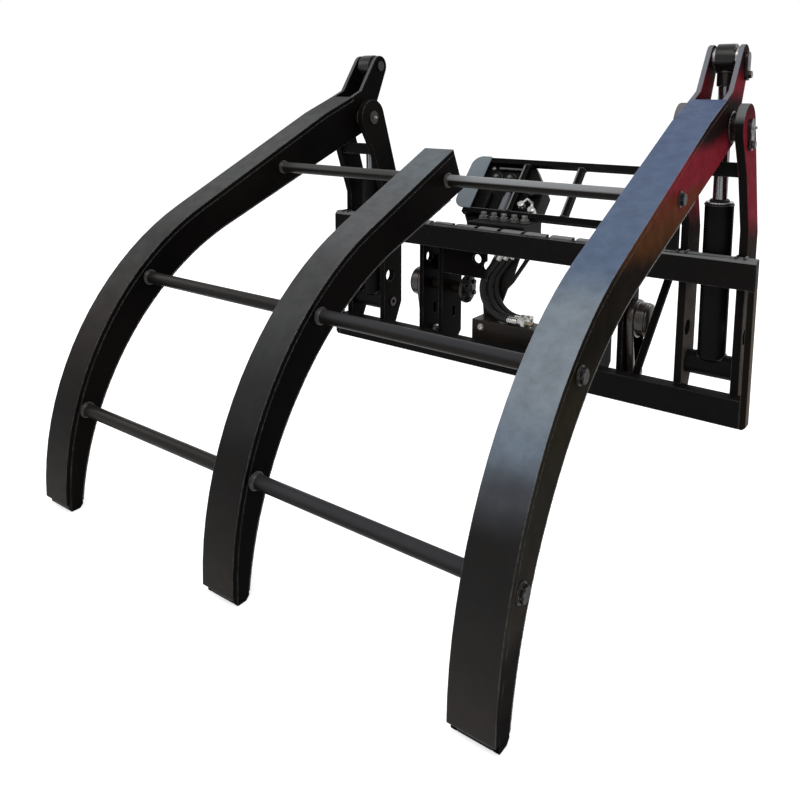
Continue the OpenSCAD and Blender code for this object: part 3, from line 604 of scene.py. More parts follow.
def recipes():
    """For each finish: what mixes it, its colours and levels, and its extras."""
    c = bpy.context.scene.grapple_colours
    black, brown, wine_reflection, slate_reflection = (tuple(found) for found in (c.black, c.brown, c.wine_reflection, c.slate_reflection))
    dark = (0.009, 0.008, 0.0075)
    guard_black = (0.003, 0.0027, 0.0026), (0.006, 0.0053, 0.005), 0.4, 0.02, 0.4
    everywhere = -9
    return {
        "black": (paint, black, brown, 0.32, 0.1),
        # side: the narrow faces near the top carry a light grey painted highlight
        "side": (paint, (0.0022, 0.0019, 0.0019), (0.006, 0.0048, 0.0042), 0.36, 0.008,
                 {"rim": ((0.09, 0.09, 0.095), 0.42, 0.5), "dust": 0.03}),
        # right_side: painted reflection and shade by height, dark red in the upper part; the
        # ear's narrow faces carry a light grey painted highlight
        "right_side": (paint, black, brown, 0.36, 0.002, 0.7, [
            (-0.42, (0.004, 0.003, 0.003)), (-0.3, (0.011, 0.009, 0.008)),
            (-0.22, (0.03, 0.025, 0.021)), (-0.1, (0.022, 0.019, 0.015)),
            (0.03, (0.021, 0.017, 0.010)), (0.12, (0.006, 0.004, 0.002)),
            (0.2, (0.007, 0.0035, 0.0015)), (0.25, (0.08, 0.027, 0.006)),
            (0.31, (0.13, 0.027, 0.013)), (0.34, wine_reflection), (0.38, wine_reflection),
            (0.42, (0.012, 0.006, 0.006)), (0.46, (0.016, 0.006, 0.006)), (0.51, wine_reflection),
            (0.56, (0.02, 0.008, 0.008))],
            {"rim": ((0.17, 0.175, 0.195), 0.43, 0.49), "dust": 0.03}),
        "frame": (paint, (0.0055, 0.005, 0.005), (0.009, 0.0078, 0.007), 0.42, 0.03),
        # carriage: painted highlight on the faces that look up, above the given height
        "carriage": (paint, (0.0075, 0.007, 0.007), (0.010, 0.009, 0.0085), 0.42, 0.012,
                     {"crown": (grey(0.17), grey(0.19), 0.45, 0.65, 0.09)}),
        # end_frame: brown on the faces that look along X, painted shade on the narrow faces
        "end_frame": (paint, (0.12, 0.09, 0.07), (0.09, 0.07, 0.055), 0.42, 0.004, 0.5,
                      {"rim": ((0.010, 0.008, 0.0065), -0.9, -0.8)}),
        "cap": (paint, (0.006, 0.0054, 0.005), (0.014, 0.012, 0.011), 0.28, 0.06, 0.35),
        # right_front: painted blue-grey reflection by height, darker towards the bottom
        "right_front": (paint, black, brown, 0.34, 0.1, 0.8, [
            (-0.42, brown), (-0.18, dark), (-0.12, dark), (-0.06, (0.05, 0.052, 0.06)),
            (0.0, (0.135, 0.165, 0.205)), (0.09, slate_reflection), (0.16, slate_reflection),
            (0.23, (0.085, 0.12, 0.19)), (0.50, tuple(c.sky_reflection))]),
        # centre_front: painted grey reflection by height, lighter towards the top
        "centre_front": (paint, black, brown, 0.35, 0.05, 0.8, [
            (-0.42, brown), (-0.18, dark), (-0.06, grey(0.022)), (0.12, grey(0.05)),
            (0.24, (0.094, 0.094, 0.096)), (0.36, tuple(c.ash_reflection))]),
        # left_front: painted grey reflection and shade by height
        "left_front": (paint, black, brown, 0.36, 0.03, 0.8, [
            (-0.42, (0.021, 0.017, 0.013)), (-0.2, dark), (0.0, (0.024, 0.020, 0.018)),
            (0.14, (0.032, 0.031, 0.03)), (0.22, (0.056, 0.057, 0.054)),
            (0.38, grey(0.066)), (0.5, grey(0.03))]),
        # mast: painted reflection and shade by height, dark red above; painted shade on the
        # narrow faces; painted highlight on the upward faces at the top
        "mast": (paint, black, brown, 0.4, 0.002, 0.7, [
            (-0.28, (0.085, 0.070, 0.059)), (0.0, (0.08, 0.066, 0.055)),
            (0.08, (0.010, 0.006, 0.005)), (0.17, (0.012, 0.003, 0.002)), (0.24, wine_reflection),
            (0.4, wine_reflection), (0.47, (0.05, 0.009, 0.010))],
            {"rim": ((0.009, 0.008, 0.0075), -0.9, -0.8), "dust": 0.03,
             "crown": (grey(0.16), grey(0.16), 0.15, 0.5, 0.40)}),
        "left_mast": (paint, (0.003, 0.0027, 0.0025), (0.009, 0.008, 0.007), 0.36, 0.008,
                      {"dust": 0.03}),
        "ear": (paint, black, brown, 0.28, 0.18, 0.8, {"coat": 0.12}),
        "cast": (paint, (0.021, 0.0155, 0.012), (0.033, 0.024, 0.0185), 0.22, 0.3, 0.2,
                 {"coat": 0.2}),
        # rod: painted highlight on the upper side, lighter to the right
        "rod": (paint, (0.009, 0.008, 0.0075), (0.013, 0.011, 0.0095), 0.34, 0.07, 0.3,
                {"crown": ((0.016, 0.014, 0.012), (0.03, 0.03, 0.032), 0.1, 0.5, everywhere)}),
        # upper rod: painted highlight on the upper side, much lighter to the right
        "bright_rod": (paint, (0.008, 0.007, 0.006), (0.011, 0.009, 0.0075), 0.34, 0.08, 0.3,
                       {"crown": ((0.05, 0.05, 0.047), (0.23, 0.232, 0.235), 0.05, 0.3,
                                  everywhere)}),
        # rail: painted highlight on the faces that look up
        "rail": (paint, *guard_black,
                 {"crown": (grey(0.2), grey(0.2), 0.74, 0.9, everywhere), "dust": 0.03}),
        # post: painted highlight lines down the posts' edges
        "post": (paint, *guard_black,
                 {"stripes": ((-0.116, 0.065), 0.0034, grey(0.2)), "dust": 0.03}),
        "barrel": (paint, grey(0.002), (0.0032, 0.0031, 0.003), 0.5, 0.06, 0.4),
        "guard_plate": (paint, tuple(c.guard), (0.12, 0.14, 0.16), 0.38, 0.15, 0.5),
        "hydraulic": (paint, (0.003, 0.0028, 0.0027), (0.010, 0.009, 0.0085), 0.38, 0.04),
        "grey_body": (paint, (0.13, 0.135, 0.145), (0.07, 0.07, 0.075), 0.4, 0.3, 0.5),
        "weld": (weld_metal, (0.012, 0.011, 0.0105), (0.34, 0.33, 0.32)),
        "weld_edge": (weld_metal, (0.007, 0.0065, 0.006), (0.2, 0.19, 0.18)),
        "weld_dark": (weld_metal, (0.009, 0.0085, 0.008), (0.06, 0.058, 0.055)),
        "bolt": (metal, (0.032, 0.028, 0.027), (0.006, 0.0055, 0.005), 0.3, (1, 1, 1), 0.95),
        "zinc": (metal, (0.42, 0.415, 0.40), (0.07, 0.065, 0.06), 0.26, (1, 1, 6), 0.8),
        "dull": (metal, (0.13, 0.128, 0.125), (0.03, 0.028, 0.026), 0.36, (1, 1, 1), 0.8),
        "chrome": (metal, (0.17, 0.172, 0.18), (0.12, 0.12, 0.125), 0.12, (1, 1, 0.1), 0.15),
        "bronze": (metal, (0.42, 0.27, 0.11), (0.1, 0.07, 0.04), 0.34),
        "brass": (metal, tuple(c.brass), (0.2, 0.13, 0.06), 0.22, (1, 1, 1), 0.4),
        "pin": (metal, (0.032, 0.027, 0.027), (0.008, 0.007, 0.007), 0.3, (6, 1, 1), 0.85),
        "rubber": (rubber_cover, tuple(c.rubber)),
    }


FINISHES = {}


def finish(name):
    """A finish by its name, mixed on first use."""
    if name not in FINISHES:
        maker, *given = recipes()[name]
        extras = given.pop() if isinstance(given[-1], dict) else {}
        FINISHES[name] = maker(name, *given, **extras)
    return FINISHES[name]


def refinish(node, name):
    """Gives a node that stays its finish."""
    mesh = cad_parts[node].data
    mesh.materials.clear()
    mesh.materials.append(finish(name))


# Tine lines

def along(degrees):
    return Vector((cos(radians(degrees)), sin(radians(degrees))))


def inward(degrees):
    return Vector((sin(radians(degrees)), -cos(radians(degrees))))


# Slopes in degrees and sizes in mm of a tine's centre line, seen from the side
TOP_SLOPE, SLOPE = 21, 25
TOP_RUN, STRAIGHT, BEND, DEPTH = 130, 523, 685, 88
PIVOT = Vector((-27, 716))
FRONT_END = PIVOT + Vector((-55, 63))
BEND_START = FRONT_END - TOP_RUN * along(TOP_SLOPE) - STRAIGHT * along(SLOPE)
BEND_CENTRE = BEND_START + BEND * inward(SLOPE)
REAR_START = BEND_START + 60 * along(SLOPE) + DEPTH * inward(SLOPE)
TIP_REAR = BEND_CENTRE + Vector((41 - BEND, 0))
SEAM_STEPS = 60


def rear_seam(x, depth, run):
    """A tine's rear seam at x, from its top run to the tip, depth behind its corner."""
    chord = TIP_REAR - REAR_START
    radius = chord.dot(chord) / (2 * chord.dot(inward(TOP_SLOPE)))
    centre = REAR_START + radius * inward(TOP_SLOPE)
    to_tip = (centre - TIP_REAR) / radius
    first, last = radians(TOP_SLOPE), atan2(to_tip.x, -to_tip.y)
    line = [REAR_START + run * along(TOP_SLOPE) - depth * inward(TOP_SLOPE)]
    for i in range(SEAM_STEPS + 1):
        angle = first + (last - first) * i / SEAM_STEPS
        line.append(centre - (radius + depth) * Vector((sin(angle), -cos(angle))))
    return [place(x, point.x, point.y) for point in line]


# Operators

class GRAPPLE_OT_stage(bpy.types.Operator):
    """Floor, light and the camera at the picture's viewpoint"""
    bl_idname = "grapple.stage"
    bl_label = "Stage"

    def execute(self, context):
        scene, light = context.scene, context.scene.grapple_light
        reach, floor_at = 60, CAD_BOX[0].z - 0.001
        bm = bmesh.new()
        for x, y in ((-1, -1), (1, -1), (1, 1), (-1, 1)):
            bm.verts.new((x * reach, y * reach, floor_at))
        bm.faces.new(bm.verts)
        mesh = bpy.data.meshes.new("floor")
        bm.to_mesh(mesh)
        bm.free()
        floor = bpy.data.objects.new("floor", mesh)
        scene.collection.objects.link(floor)
        made = Finish("floor_white")
        speck = made.range(made.noise(30, 3), 0.3, 0.7)
        made.set(Roughness=0.9, Specular_IOR_Level=0.1,
                 Base_Color=made.mix(speck, grey(0.80), grey(0.82)))
        total = made.add("AddShader")
        made.put(made.shader.outputs[0], total.inputs[0])
        made.put(made.seen_or_lit(made.add("Emission", Strength=0.62),
                                  made.add("Emission", Strength=0)), total.inputs[1])
        made.feed(made.output, Surface=total.outputs[0])
        mesh.materials.append(made.material)

        scene.world = bpy.data.worlds.new("studio")
        studio = Tree(scene.world, "OutputWorld")
        studio.feed(studio.output, Surface=studio.seen_or_lit(
            studio.add("Background", Color=(1, 1, 1, 1)),
            studio.add("Background", Color=(0.94, 0.97, 1, 1), Strength=light.world)))

        for name, energy, spot, size, target in (
                ("key", light.key, (0.5, -2.6, 3.4), 2.6, (0, -0.4, 0)),
                ("side", light.side, (-3.0, -1.6, 1.8), 1.8, (0, -0.3, 0)),
                ("rear", light.rear, (1.4, 2.8, 2.6), 1.8, (0, 0, 0.1))):
            lamp = bpy.data.lights.new(name, "AREA")
            lamp.energy, lamp.size = energy, size
            self.aim(scene, name, lamp, Vector(spot), Vector(target) - Vector(spot))

        camera = bpy.data.cameras.new("camera")
        turned, tilted = radians(37.15), radians(8.45)
        heading = Vector((-sin(turned) * cos(tilted), cos(turned) * cos(tilted), -sin(tilted)))
        scene.camera = self.aim(scene, "camera", camera, place(1060.6, -1945.2, 801.1), heading)
        camera.sensor_fit = "HORIZONTAL"
        camera.sensor_width = camera.sensor_height = 36
        camera.lens = 35.82
        camera.shift_x, camera.shift_y = 0.0106, -0.2406
        camera.clip_start = 0.05
        scene.view_settings.view_transform = "Standard"
        return {"FINISHED"}

    def aim(self, scene, name, data, spot, heading):
        """Puts a lamp or the camera at a spot, looking along a heading."""
        holder = bpy.data.objects.new(name, data)
        holder.location = spot
        holder.rotation_euler = heading.to_track_quat("-Z", "Y").to_euler()
        scene.collection.objects.link(holder)
        return holder


class GRAPPLE_OT_tines(bpy.types.Operator):
    """The three welded box tines with their seams, tips and ears"""
    bl_idname = "grapple.tines"
    bl_label = "Tines"

    def execute(self, context):
        sizes = context.scene.grapple_sizes
        edge = sizes.edge_round
        for side in TINES:
            look = "right_side" if side == "right" else "side"
            dressed(side + "_sides", [side + "_tine_sides"], "tines", [look], edge)
            dressed(side + "_face", [side + "_tine_front"], "tines", [side + "_front", look],
                edge)
            dressed(side + "_back", [side + "_tine_rear"], "tines", ["side"], edge)
        dressed("centre_cap", ["centre_tine_cap"], "tines", ["side"], edge)
        dressed("tips", ["tip_blocks"], "tines", ["black"], edge)
        seams, corners = bmesh.new(), bmesh.new()
        inner, outer, tube_end = 27.5, 39.6, 41.8
        for side, x in TINES.items():
            run = 235 if side == "centre" else 325
            for reach in (-inner, inner):
                bead(seams, rear_seam(x + reach, 1.5, run), sizes.seam_weld)
            for reach in (-outer, outer):
                bead(corners, rear_seam(x + reach, 0.6, run), sizes.edge_weld)
        shape("corner_beads", corners, "tines", "weld_edge")
        for _, _, mid in solids("pivot_tubes"):
            for face in (-1, 1):
                end = at_x(mid.x + face * tube_end * MM, mid)
                bead_ring(seams, end, X, 0.0336, 0.0026)
        shape("tine_seams", seams, "tines", "weld")
        return {"FINISHED"}


class GRAPPLE_OT_rods(bpy.types.Operator):
    """Cross rods with their weld collars and end bolts"""
    bl_idname = "grapple.rods"
    bl_label = "Cross rods"

    def execute(self, context):
        flats = context.scene.grapple_sizes.rod_bolt_flats
        for node, look in (("upper_rod", "bright_rod"), ("middle_rod", "rod"),
                           ("lower_rod", "rod")):
            refinish(node, look)
        collars, caps = bmesh.new(), bmesh.new()
        for _, _, mid in solids("rod_collars"):
            near = min(TINES.values(), key=lambda x: abs(x * MM - mid.x)) * MM
            away = 1 if mid.x > near else -1
            face = at_x(near + away * HALF_TINE * MM, mid)
            turn(collars, face, X * away, [(0, 0.0182), (0.0012, 0.0176), (0.0032, 0.0160),
                (0.0062, 0.0146), (0.0075, 0.0139)], 36)
            bead_ring(collars, face + X * away * 0.0014, X, 0.0160, 0.0024)
        shape("rod_welds", collars, "tines", "weld_dark", ["rod_collars"])
        for low, high, mid in solids("rod_bolts"):
            away = outward(low, high)[0]
            face = at_x(away * (TINES["right"] + HALF_TINE) * MM, mid)
            bolt(caps, face, X * away, flats, 0.0074, 0.0168, 0.0024)
            turn(caps, face, X * -away, [(0, 0.0079), (0.031, 0.0079), (0.032, 0.0069),
                (0.032, 0)], 24)
        shape("rod_end_bolts", caps, "tines", "cap", ["rod_bolts"])
        return {"FINISHED"}


class GRAPPLE_OT_frame(bpy.types.Operator):
    """Fork frame: notched top bar, bottom bar, uprights, masts and their beads"""
    bl_idname = "grapple.frame"
    bl_label = "Fork frame"

    def execute(self, context):
        for name, nodes, look in (
                ("carriage_bars", ["top_bar", "bottom_bar"], "carriage"),
                ("end_bars", ["uprights"], "end_frame"),
                ("left_masts", ["left_mast_plates"], "left_mast"),
                ("right_masts", ["right_mast_plates"], "mast"),
                ("gussets", ["mast_gussets"], "frame"),
                ("stay", ["stay_bar"], "side")):
            dressed(name, nodes, "frame", [look], context.scene.grapple_sizes.edge_round)
        bm = bmesh.new()
        for node in ("left_mast_plates", "right_mast_plates"):
            for low, high, _ in solids(node):
                for x in (low.x, high.x):
                    plate_beads(bm, x / MM, (((29, 336), (29, 406), 1), ((41, 36), (41, 63), 1),
                                             ((4, 409), (27, 409), 0.8)))
        low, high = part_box("uprights")
        for x in (low.x / MM + 16, high.x / MM - 16):
            plate_beads(bm, x, (((3, 335), (25, 335), 0.8), ((28.5, 336), (28.5, 405), 0.8)))
        shape("frame_welds", bm, "frame", "weld_dark")
        return {"FINISHED"}


class GRAPPLE_OT_pivots(bpy.types.Operator):
    """Pivot, ear and base pins with flags, bolts, bushes and washers"""
    bl_idname = "grapple.pivots"
    bl_label = "Pins"

    def execute(self, context):
        flats = context.scene.grapple_sizes.flag_bolt_flats
        for name, node, body, look, rounding in (
                ("mast_pins", "pivot_pins", "frame", "pin", 0.0012),
                ("foot_pins", "base_pins", "frame", "pin", 0.0012),
                ("ear_pins_round", "ear_pins", "tines", "pin", 0.0012),
                ("hinge_tubes", "pivot_tubes", "tines", "ear", 0.0014),
                ("eye_rings", "eye_washers", "tines", "zinc", 0.0006)):
            dressed(name, [node], body, [look], rounding)
        refinish("pivot_bushes", "bronze")
        for name, node, body in (("mast_flag_bolts", "pivot_pin_bolts", "frame"),
                                 ("ear_flag_bolts", "ear_pin_bolts", "tines")):
            bm = bmesh.new()
            for low, high, mid in solids(node):
                face, reach = at_x(high.x - 0.007, mid), high.x - low.x - 0.007
                bolt(bm, face, X, flats, 0.006, 0.0102, 0.001)
                turn(bm, face, -X, [(0, 0.0058), (reach - 0.0005, 0.0058), (reach, 0)], 20)
            shape(name, bm, body, "bolt", [node])
        bm = bmesh.new()
        for _, high, mid in solids("pivot_pins"):
            nipple = [(-0.0005, 0.0045), (0.0025, 0.0045), (0.003, 0.003), (0.0055, 0.003),
                      (0.007, 0.0036), (0.0085, 0.0026), (0.009, 0)]
            turn(bm, Vector((high.x, mid.y, high.z - 0.02)), X, nipple, 20)
        shape("grease_nipples", bm, "frame", "zinc")
        return {"FINISHED"}


class GRAPPLE_OT_cylinders(bpy.types.Operator):
    """Hydraulic cylinders: barrel, gland, wiper, ports, rod and eye"""
    bl_idname = "grapple.cylinders"
    bl_label = "Cylinders"

    def execute(self, context):
        ports = (0.052, 0.36)
        barrel_radius, skin, foot_radius = 0.0335, 0.0338, 0.030
        for side in ("left", "right"):
            barrel, rod = side + "_barrel", side + "_rod"
            foot, top = place(TINES[side], 70, 117), place(TINES[side], 54, 873)
            line = (top - foot).normalized()
            across = X.cross(line)
            back = -across
            dressed(side + "_cylinder", [barrel], barrel, ["barrel"], 0.0013)
            dressed(side + "_gland_ring", [side + "_gland"], barrel, ["zinc"], 0.0006)
            refinish(side + "_piston_rod", "chrome")
            refinish(side + "_piston", "pin")
            dressed(side + "_eye", [side + "_rod_eye"], rod, ["ear"], 0.0024, 3)
            bm = bmesh.new()
            turn(bm, foot + line * 0.415, line, [(0, 0.0172), (0, 0.0232), (0.0035, 0.0232),
                (0.0062, 0.0205), (0.0066, 0.0176), (0.0052, 0.0172), (0, 0.0172)])
            shape(side + "_wiper", bm, barrel, "rubber")
            bm = bmesh.new()
            bead_ring(bm, foot + line * 0.408, line, skin, 0.0016)
            seat, half = [], 0.0204
            for face in (1, -1):
                for step in range(17):
                    at = face * half * (1 - step / 8)
                    seat.append(foot + X * face * (skin ** 2 - at ** 2) ** 0.5 + across * at
                                + line * ((foot_radius ** 2 - at ** 2) ** 0.5 + 0.0004))
            bead(bm, seat, 0.003, True)
            for height in ports:
                bead_ring(bm, foot + line * height + back * skin, back, 0.0136, 0.0024)
            shape(side + "_barrel_welds", bm, barrel, "weld_dark")
            bm = bmesh.new()
            for height in ports:
                face = foot + line * height + back * (barrel_radius + 0.014)
                hex_head(bm, face, back, 0.022, 0.008)
                turn(bm, face, back, [(0.0078, 0), (0.0078, 0.0062), (0.0125, 0.0058),
                    (0.0135, 0.005), (0.0135, 0)], 24)
            shape(side + "_port_plugs", bm, barrel, "zinc")
            bm = bmesh.new()
            bead_ring(bm, top - line * 0.0628, line, 0.0188, 0.0028)
            bead_ring(bm, top - line * 0.0318, line, 0.0222, 0.0026)
            shape(side + "_eye_welds", bm, rod, "weld_dark")
        return {"FINISHED"}


class GRAPPLE_OT_coupler(bpy.types.Operator):
    """Rear lugs, hanger arms with their pins, flanges and bolts"""
    bl_idname = "grapple.coupler"
    bl_label = "Rear coupler"

    def execute(self, context):
        sizes = context.scene.grapple_sizes
        for name, nodes, look, rounding, steps in (
                ("lugs", ["left_lug_plates", "right_lug_plates"], "side", sizes.edge_round, 2),
                ("lug_ties", ["lug_tie_plates"], "side", sizes.edge_round, 2),
                ("hangers", ["hanger_arms"], "cast", sizes.cast_round, 4),
                ("hanger_shafts", ["hanger_pins"], "ear", 0.0016, 2)):
            dressed(name, nodes, "frame", [look], rounding, steps)
        welds, bolts, nuts, domes = (bmesh.new() for _ in range(4))
        for node in ("left_lug_plates", "right_lug_plates"):
            for low, high, _ in solids(node):
                for x in (low.x, high.x):
                    plate_beads(welds, x / MM, (((29, 336), (29, 378), 1),
                                                ((41, 20), (41, 62), 1)))
        for low, high, mid in solids("lug_bolts"):
            away, outer, _ = outward(low, high)
            face = at_x(outer - away * 0.01, mid)
            bolt(bolts, face, X * away, 0.024, 0.008, 0.0165, 0.0022)
            turn(bolts, face, X * -away, [(0, 0.0079), (0.052, 0.0079), (0.054, 0.0066),
                (0.054, 0)], 24)
        for low, high, mid in solids("lug_nuts"):
            away, outer, _ = outward(low, high)
            hex_head(nuts, at_x(outer, mid), X * -away, 0.024, 0.0105)
        bolt_circle, hub_radius = 0.0335, 0.0446
        for low, high, mid in solids("hanger_pins"):
            away, outer, inner = outward(low, high)
            centre = at_x(inner, mid)
            for step in range(6):
                angle = 2 * pi * (step + 0.5) / 6
                spot = centre + Vector((0, cos(angle), sin(angle))) * bolt_circle
                bolt(bolts, spot, X * -away, 0.013, 0.005, 0.0082, 0.0014)
            turn(bolts, centre, X * -away, [(0, 0.0215), (0.003, 0.0205), (0.0034, 0.0145),
                (0.0016, 0.0125), (0.0016, 0)], 36)
            dome = [(-0.0042, hub_radius)]
            for step in range(12):
                angle = radians(90) * step / 12
                dome.append((-0.0034 + 0.0135 * sin(angle), hub_radius * cos(angle) ** 0.85))
            turn(domes, at_x(outer, mid), X * away, dome + [(0.0101, 0)], 56)
        shape("lug_welds", welds, "frame", "weld_dark")
        shape("hub_covers", domes, "frame", "cast")
        shape("lug_bolt_heads", bolts, "frame", "bolt", ["lug_bolts"])
        shape("lug_nut_set", nuts, "frame", "zinc", ["lug_nuts"])
        return {"FINISHED"}


def hose_line(row):
    """Route of one supply hose, from the end block up to the manifold."""
    x, y, low, radius, lift = -48 + 11 * row, 82 + 21 * row, 125, 84, radians(36)
    centre = Vector((x, low + radius))
    points = [Vector((x + 14, low)), Vector((x + 7, low))]
    for i in range(31):
        angle = radians(270) - (radians(90) + lift) * i / 30
        points.append(centre + radius * Vector((cos(angle), sin(angle))))
    end = points[-1]
    rise = 345 - end.y
    points.append(end + Vector((rise * tan(lift), rise)))
    return [place(point.x, y, point.y) for point in points]


class GRAPPLE_OT_hydraulics(bpy.types.Operator):
    """Hose shelf, supply hoses, fittings, manifold and valve block"""
    bl_idname = "grapple.hydraulics"
    bl_label = "Hoses and valves"

    def execute(self, context):
        sizes = context.scene.grapple_sizes
        dressed("hose_shelf", ["shelf", "shelf_legs"], "frame", ["black"], sizes.edge_round)
        for name, node in (("manifold_body", "manifold"), ("valve_body", "valve_block")):
            dressed(name, [node], "frame", ["hydraulic"], 0.0025, 3)
        pitch, lines = sizes.hose_pitch, [hose_line(row) for row in range(3)]

        def radius_at(gone, angle):
            radius, lay = 0.0092, 0.0003
            return radius + lay * sin(2 * pi * gone / pitch + angle)

        bm = bmesh.new()
        for line in lines:
            sweep(bm, spaced(line, pitch / 6), radius_at, 16)
        shape("hoses", bm, "frame", "rubber", ["supply_hoses"], ROUND_CREASE)
        bm = bmesh.new()
        for row, line in enumerate(lines):
            start, reach = line[0] - X * 0.006, 0.031 - 0.011 * row
            sleeve = [(-0.004, 0.0098), (0, 0.0116)]
            for ring in range(4):
                at = reach * ring / 4
                sleeve += [(at + 0.0008, 0.0117), (at + reach / 8, 0.0105),
                           (at + reach / 4 - 0.0008, 0.0117)]
            turn(bm, start, X, sleeve + [(reach, 0.0092), (reach, 0)], 36)
            hex_head(bm, start + X * reach, X, 0.0205, 0.0112)
            end, way = line[-1], (line[-1] - line[-2]).normalized()
            turn(bm, end - way * 0.05, way, [(0, 0.0096), (0.002, 0.0117), (0.008, 0.0104),
                (0.014, 0.0117), (0.02, 0.0104), (0.026, 0.0117), (0.03, 0.0092), (0.03, 0)],
                36)
            hex_head(bm, end - way * 0.02, way, 0.0215, 0.017)
        low, high, block = place(2, 72, 114), place(16, 134, 136), bmesh.new()
        bmesh.ops.create_cube(block, size=1, matrix=Matrix.Translation((low + high) / 2)
            @ Matrix.Diagonal((*(high - low), 1)))
        bmesh.ops.bevel(block, geom=block.edges[:], offset=0.0016, segments=2, profile=0.5,
            affect="EDGES")
        pour(block, bm)
        for y in (92.5, 113.5):
            turn(bm, place(9, y, 136), Z, [(-0.0002, 0.0052), (0.0036, 0.0052),
                (0.0042, 0.0046), (0.0042, 0.0026), (0.0018, 0.0026), (0.0018, 0)], 24)
        shape("hose_ends", bm, "frame", "zinc", ["hose_fittings"])
        bm = bmesh.new()
        knob = place(16, 82, 125)
        turn(bm, knob, X, [(0, 0.007), (0.004, 0.007), (0.005, 0.0048), (0.0125, 0.0048),
            (0.0135, 0.0066), (0.0195, 0.0066), (0.02, 0.005), (0.02, 0)], 32)
        shape("knob_stem", bm, "frame", "brass")
        bm = bmesh.new()
        turn(bm, knob + X * 0.0165 - Z * 0.022, Z, [(0, 0), (0.0008, 0.0036), (0.0035, 0.0054),
            (0.007, 0.0052), (0.011, 0.0034), (0.022, 0.003), (0.033, 0.0034), (0.037, 0.0052),
            (0.0405, 0.0054), (0.0432, 0.0036), (0.044, 0)], 28)
        shape("knob_bar", bm, "frame", "zinc")

        bm = bmesh.new()
        for _, high, mid in solids("shelf_bolts"):
            bolt(bm, Vector((mid.x, high.y, mid.z)), -Y, 0.016, 0.005, 0.0102, 0.0014)
        shape("shelf_bolt_heads", bm, "frame", "zinc", ["shelf_bolts"])
        bm = bmesh.new()
        low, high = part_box("manifold")
        for share in (0.1, 0.28, 0.46, 0.64, 0.82):
            spot = Vector((low.x + (high.x - low.x) * share, high.y - 0.042, high.z))
            bolt(bm, spot, Z, 0.024, 0.009, 0.0145, 0.002)
            turn(bm, spot, Z, [(0.0105, 0), (0.0105, 0.0088), (0.020, 0.0084), (0.022, 0.0072),
                (0.022, 0)], 24)
        shape("adaptors", bm, "frame", "dull")
        return {"FINISHED"}


# The guard's lean from upright, to the rear
LEAN = radians(42)


def on_guard(x, height, depth):
    """A point on the leaning guard: across, up the slope, and behind its plane, in mm."""
    y = 190 + height * sin(LEAN) + depth * cos(LEAN)
    return place(x - 4, y, 420 + height * cos(LEAN) - depth * sin(LEAN))


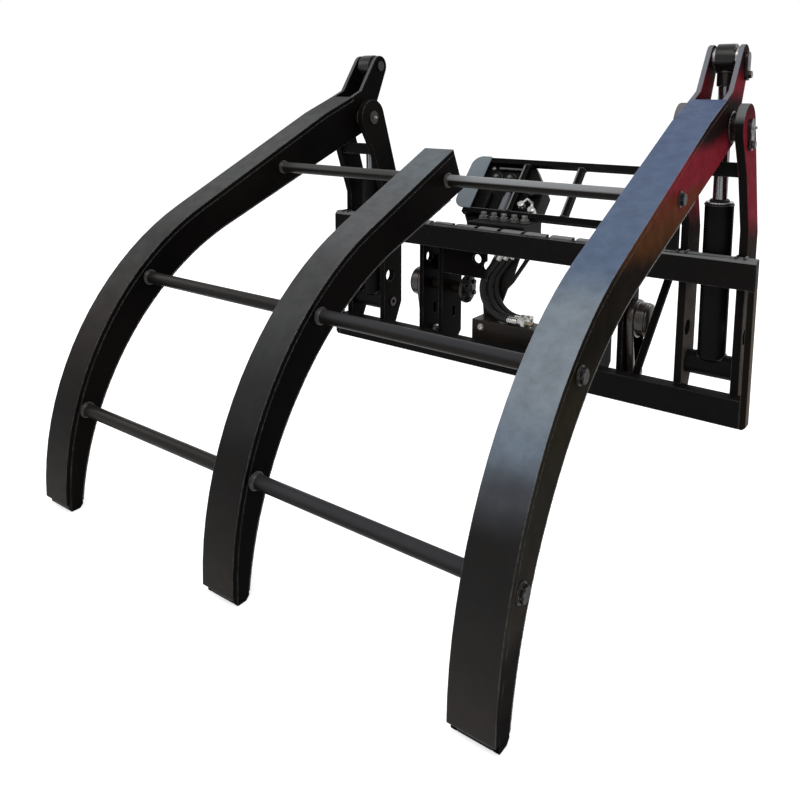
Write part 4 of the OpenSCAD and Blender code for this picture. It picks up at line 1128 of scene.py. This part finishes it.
class GRAPPLE_OT_guard(bpy.types.Operator):
    """Guard: rails, posts, end plate, brackets and the valves behind it"""
    bl_idname = "grapple.guard"
    bl_label = "Guard"

    def execute(self, context):
        for name, nodes, look, rounding, steps in (
                ("guard_bars", ["guard_top_rail", "guard_lower_rail"], "rail", 0.0024, 3),
                ("guard_uprights", ["guard_posts"], "post", 0.0018, 3),
                ("guard_feet", ["guard_brackets"], "side",
                 context.scene.grapple_sizes.edge_round, 2),
                ("guard_end", ["guard_end_plate"], "guard_plate", 0.0014, 2)):
            dressed(name, nodes, "frame", [look], rounding, steps)
        up = (on_guard(0, 100, 0) - on_guard(0, 0, 0)).normalized()
        out = (on_guard(0, 0, -100) - on_guard(0, 0, 0)).normalized()
        welds, posts, rail_faces = bmesh.new(), (-105, 76), (10.5, 187.5)
        rows = [((-9, depth), (9, depth)) for depth in (-10, 10)]
        rows += [((edge, -9), (edge, 9)) for edge in (-10, 10)]
        for x in posts:
            for height in rail_faces:
                for (left, near), (right, far) in rows:
                    bead(welds, [on_guard(x + left, height, near),
                                 on_guard(x + right, height, far)], 0.0022)
        shape("guard_welds", welds, "frame", "weld_dark")
        solenoids, steel, grey_parts, dull = (bmesh.new() for _ in range(4))
        for x, height in ((-190, 128), (-142, 128), (-52, 92)):
            start = on_guard(x, height, 10.5)
            turn(solenoids, start, out, [(0, 0.0185), (0.002, 0.0195), (0.022, 0.0195),
                (0.024, 0.018), (0.024, 0.009), (0.028, 0.009), (0.0295, 0.0075), (0.0295, 0)],
                40)
            turn(dull, start + out * 0.0285, out, [(0, 0.0068), (0.004, 0.0068),
                (0.005, 0.0056), (0.005, 0)], 24, 0.006)
        for x, radius, bm in ((-196, 0.007, solenoids), (-134, 0.012, grey_parts)):
            turn(bm, on_guard(x, 12, 2), up, [(0, 0), (0, radius), (0.05, radius),
                (0.053, radius * 0.8), (0.066, radius * 0.8), (0.069, radius * 0.55),
                (0.069, 0)], 36)
        sweep(dull, spaced([on_guard(-202, 174, 2), on_guard(-117, 174, 2)], 0.004),
              lambda gone, angle: 0.0044, 14)
        sweep(steel, spaced([on_guard(-74, 44, -2), on_guard(-60, 62, -4), on_guard(-42, 50, -2),
                             on_guard(-34, 24, 2)], 0.003), lambda gone, angle: 0.0048, 14)
        for x, height in ((-74, 40), (-34, 24)):
            turn(steel, on_guard(x, height, 10), out, [(0, 0.0125), (0.011, 0.0125),
                (0.012, 0.0105), (0.02, 0.0105), (0.021, 0.008), (0.021, 0)], 36, 0.011)
        for x, height in ((-226, 176), (-40, 14), (-226, 6), (-110, 176)):
            turn(steel, on_guard(x, height, 10), out, [(0, 0.006), (0.005, 0.006),
                (0.006, 0.005), (0.006, 0.003), (0.003, 0.003), (0.003, 0)], 24)
        for name, bm, look in (("solenoids", solenoids, "hydraulic"),
                               ("cartridges", grey_parts, "grey_body"),
                               ("couplings", steel, "zinc"), ("valve_fittings", dull, "dull")):
            shape(name, bm, "frame", look)
        return {"FINISHED"}


class GRAPPLE_PT_build(bpy.types.Panel):
    """Buttons that build the grapple, and its sizes and colours"""
    bl_idname = "GRAPPLE_PT_build"
    bl_label = "Forklift grapple"
    bl_space_type = "VIEW_3D"
    bl_region_type = "UI"
    bl_category = "Grapple"

    def draw(self, context):
        layout = self.layout
        for operator in OPERATORS:
            layout.operator(operator.bl_idname)
        for group in (context.scene.grapple_sizes, context.scene.grapple_colours,
                      context.scene.grapple_light):
            for name in group.__annotations__:
                layout.prop(group, name)


OPERATORS = (GRAPPLE_OT_stage, GRAPPLE_OT_tines, GRAPPLE_OT_rods, GRAPPLE_OT_frame,
             GRAPPLE_OT_pivots, GRAPPLE_OT_cylinders, GRAPPLE_OT_coupler,
             GRAPPLE_OT_hydraulics, GRAPPLE_OT_guard)
GROUPS = {"grapple_sizes": GrappleSizes, "grapple_colours": GrappleColours,
          "grapple_light": GrappleLight}


def register():
    for group in GROUPS.values():
        bpy.utils.register_class(group)
    for name, group in GROUPS.items():
        setattr(bpy.types.Scene, name, PointerProperty(type=group))
    for operator in OPERATORS:
        bpy.utils.register_class(operator)
    bpy.utils.register_class(GRAPPLE_PT_build)


def unregister():
    bpy.utils.unregister_class(GRAPPLE_PT_build)
    for operator in reversed(OPERATORS):
        bpy.utils.unregister_class(operator)
    for name in GROUPS:
        delattr(bpy.types.Scene, name)
    for group in reversed(list(GROUPS.values())):
        bpy.utils.unregister_class(group)


def main():
    register()
    build = bpy.ops.grapple
    build.stage()
    build.tines()
    build.rods()
    build.frame()
    build.pivots()
    build.cylinders()
    build.coupler()
    build.hydraulics()
    build.guard()


if __name__ == "__main__":
    main()
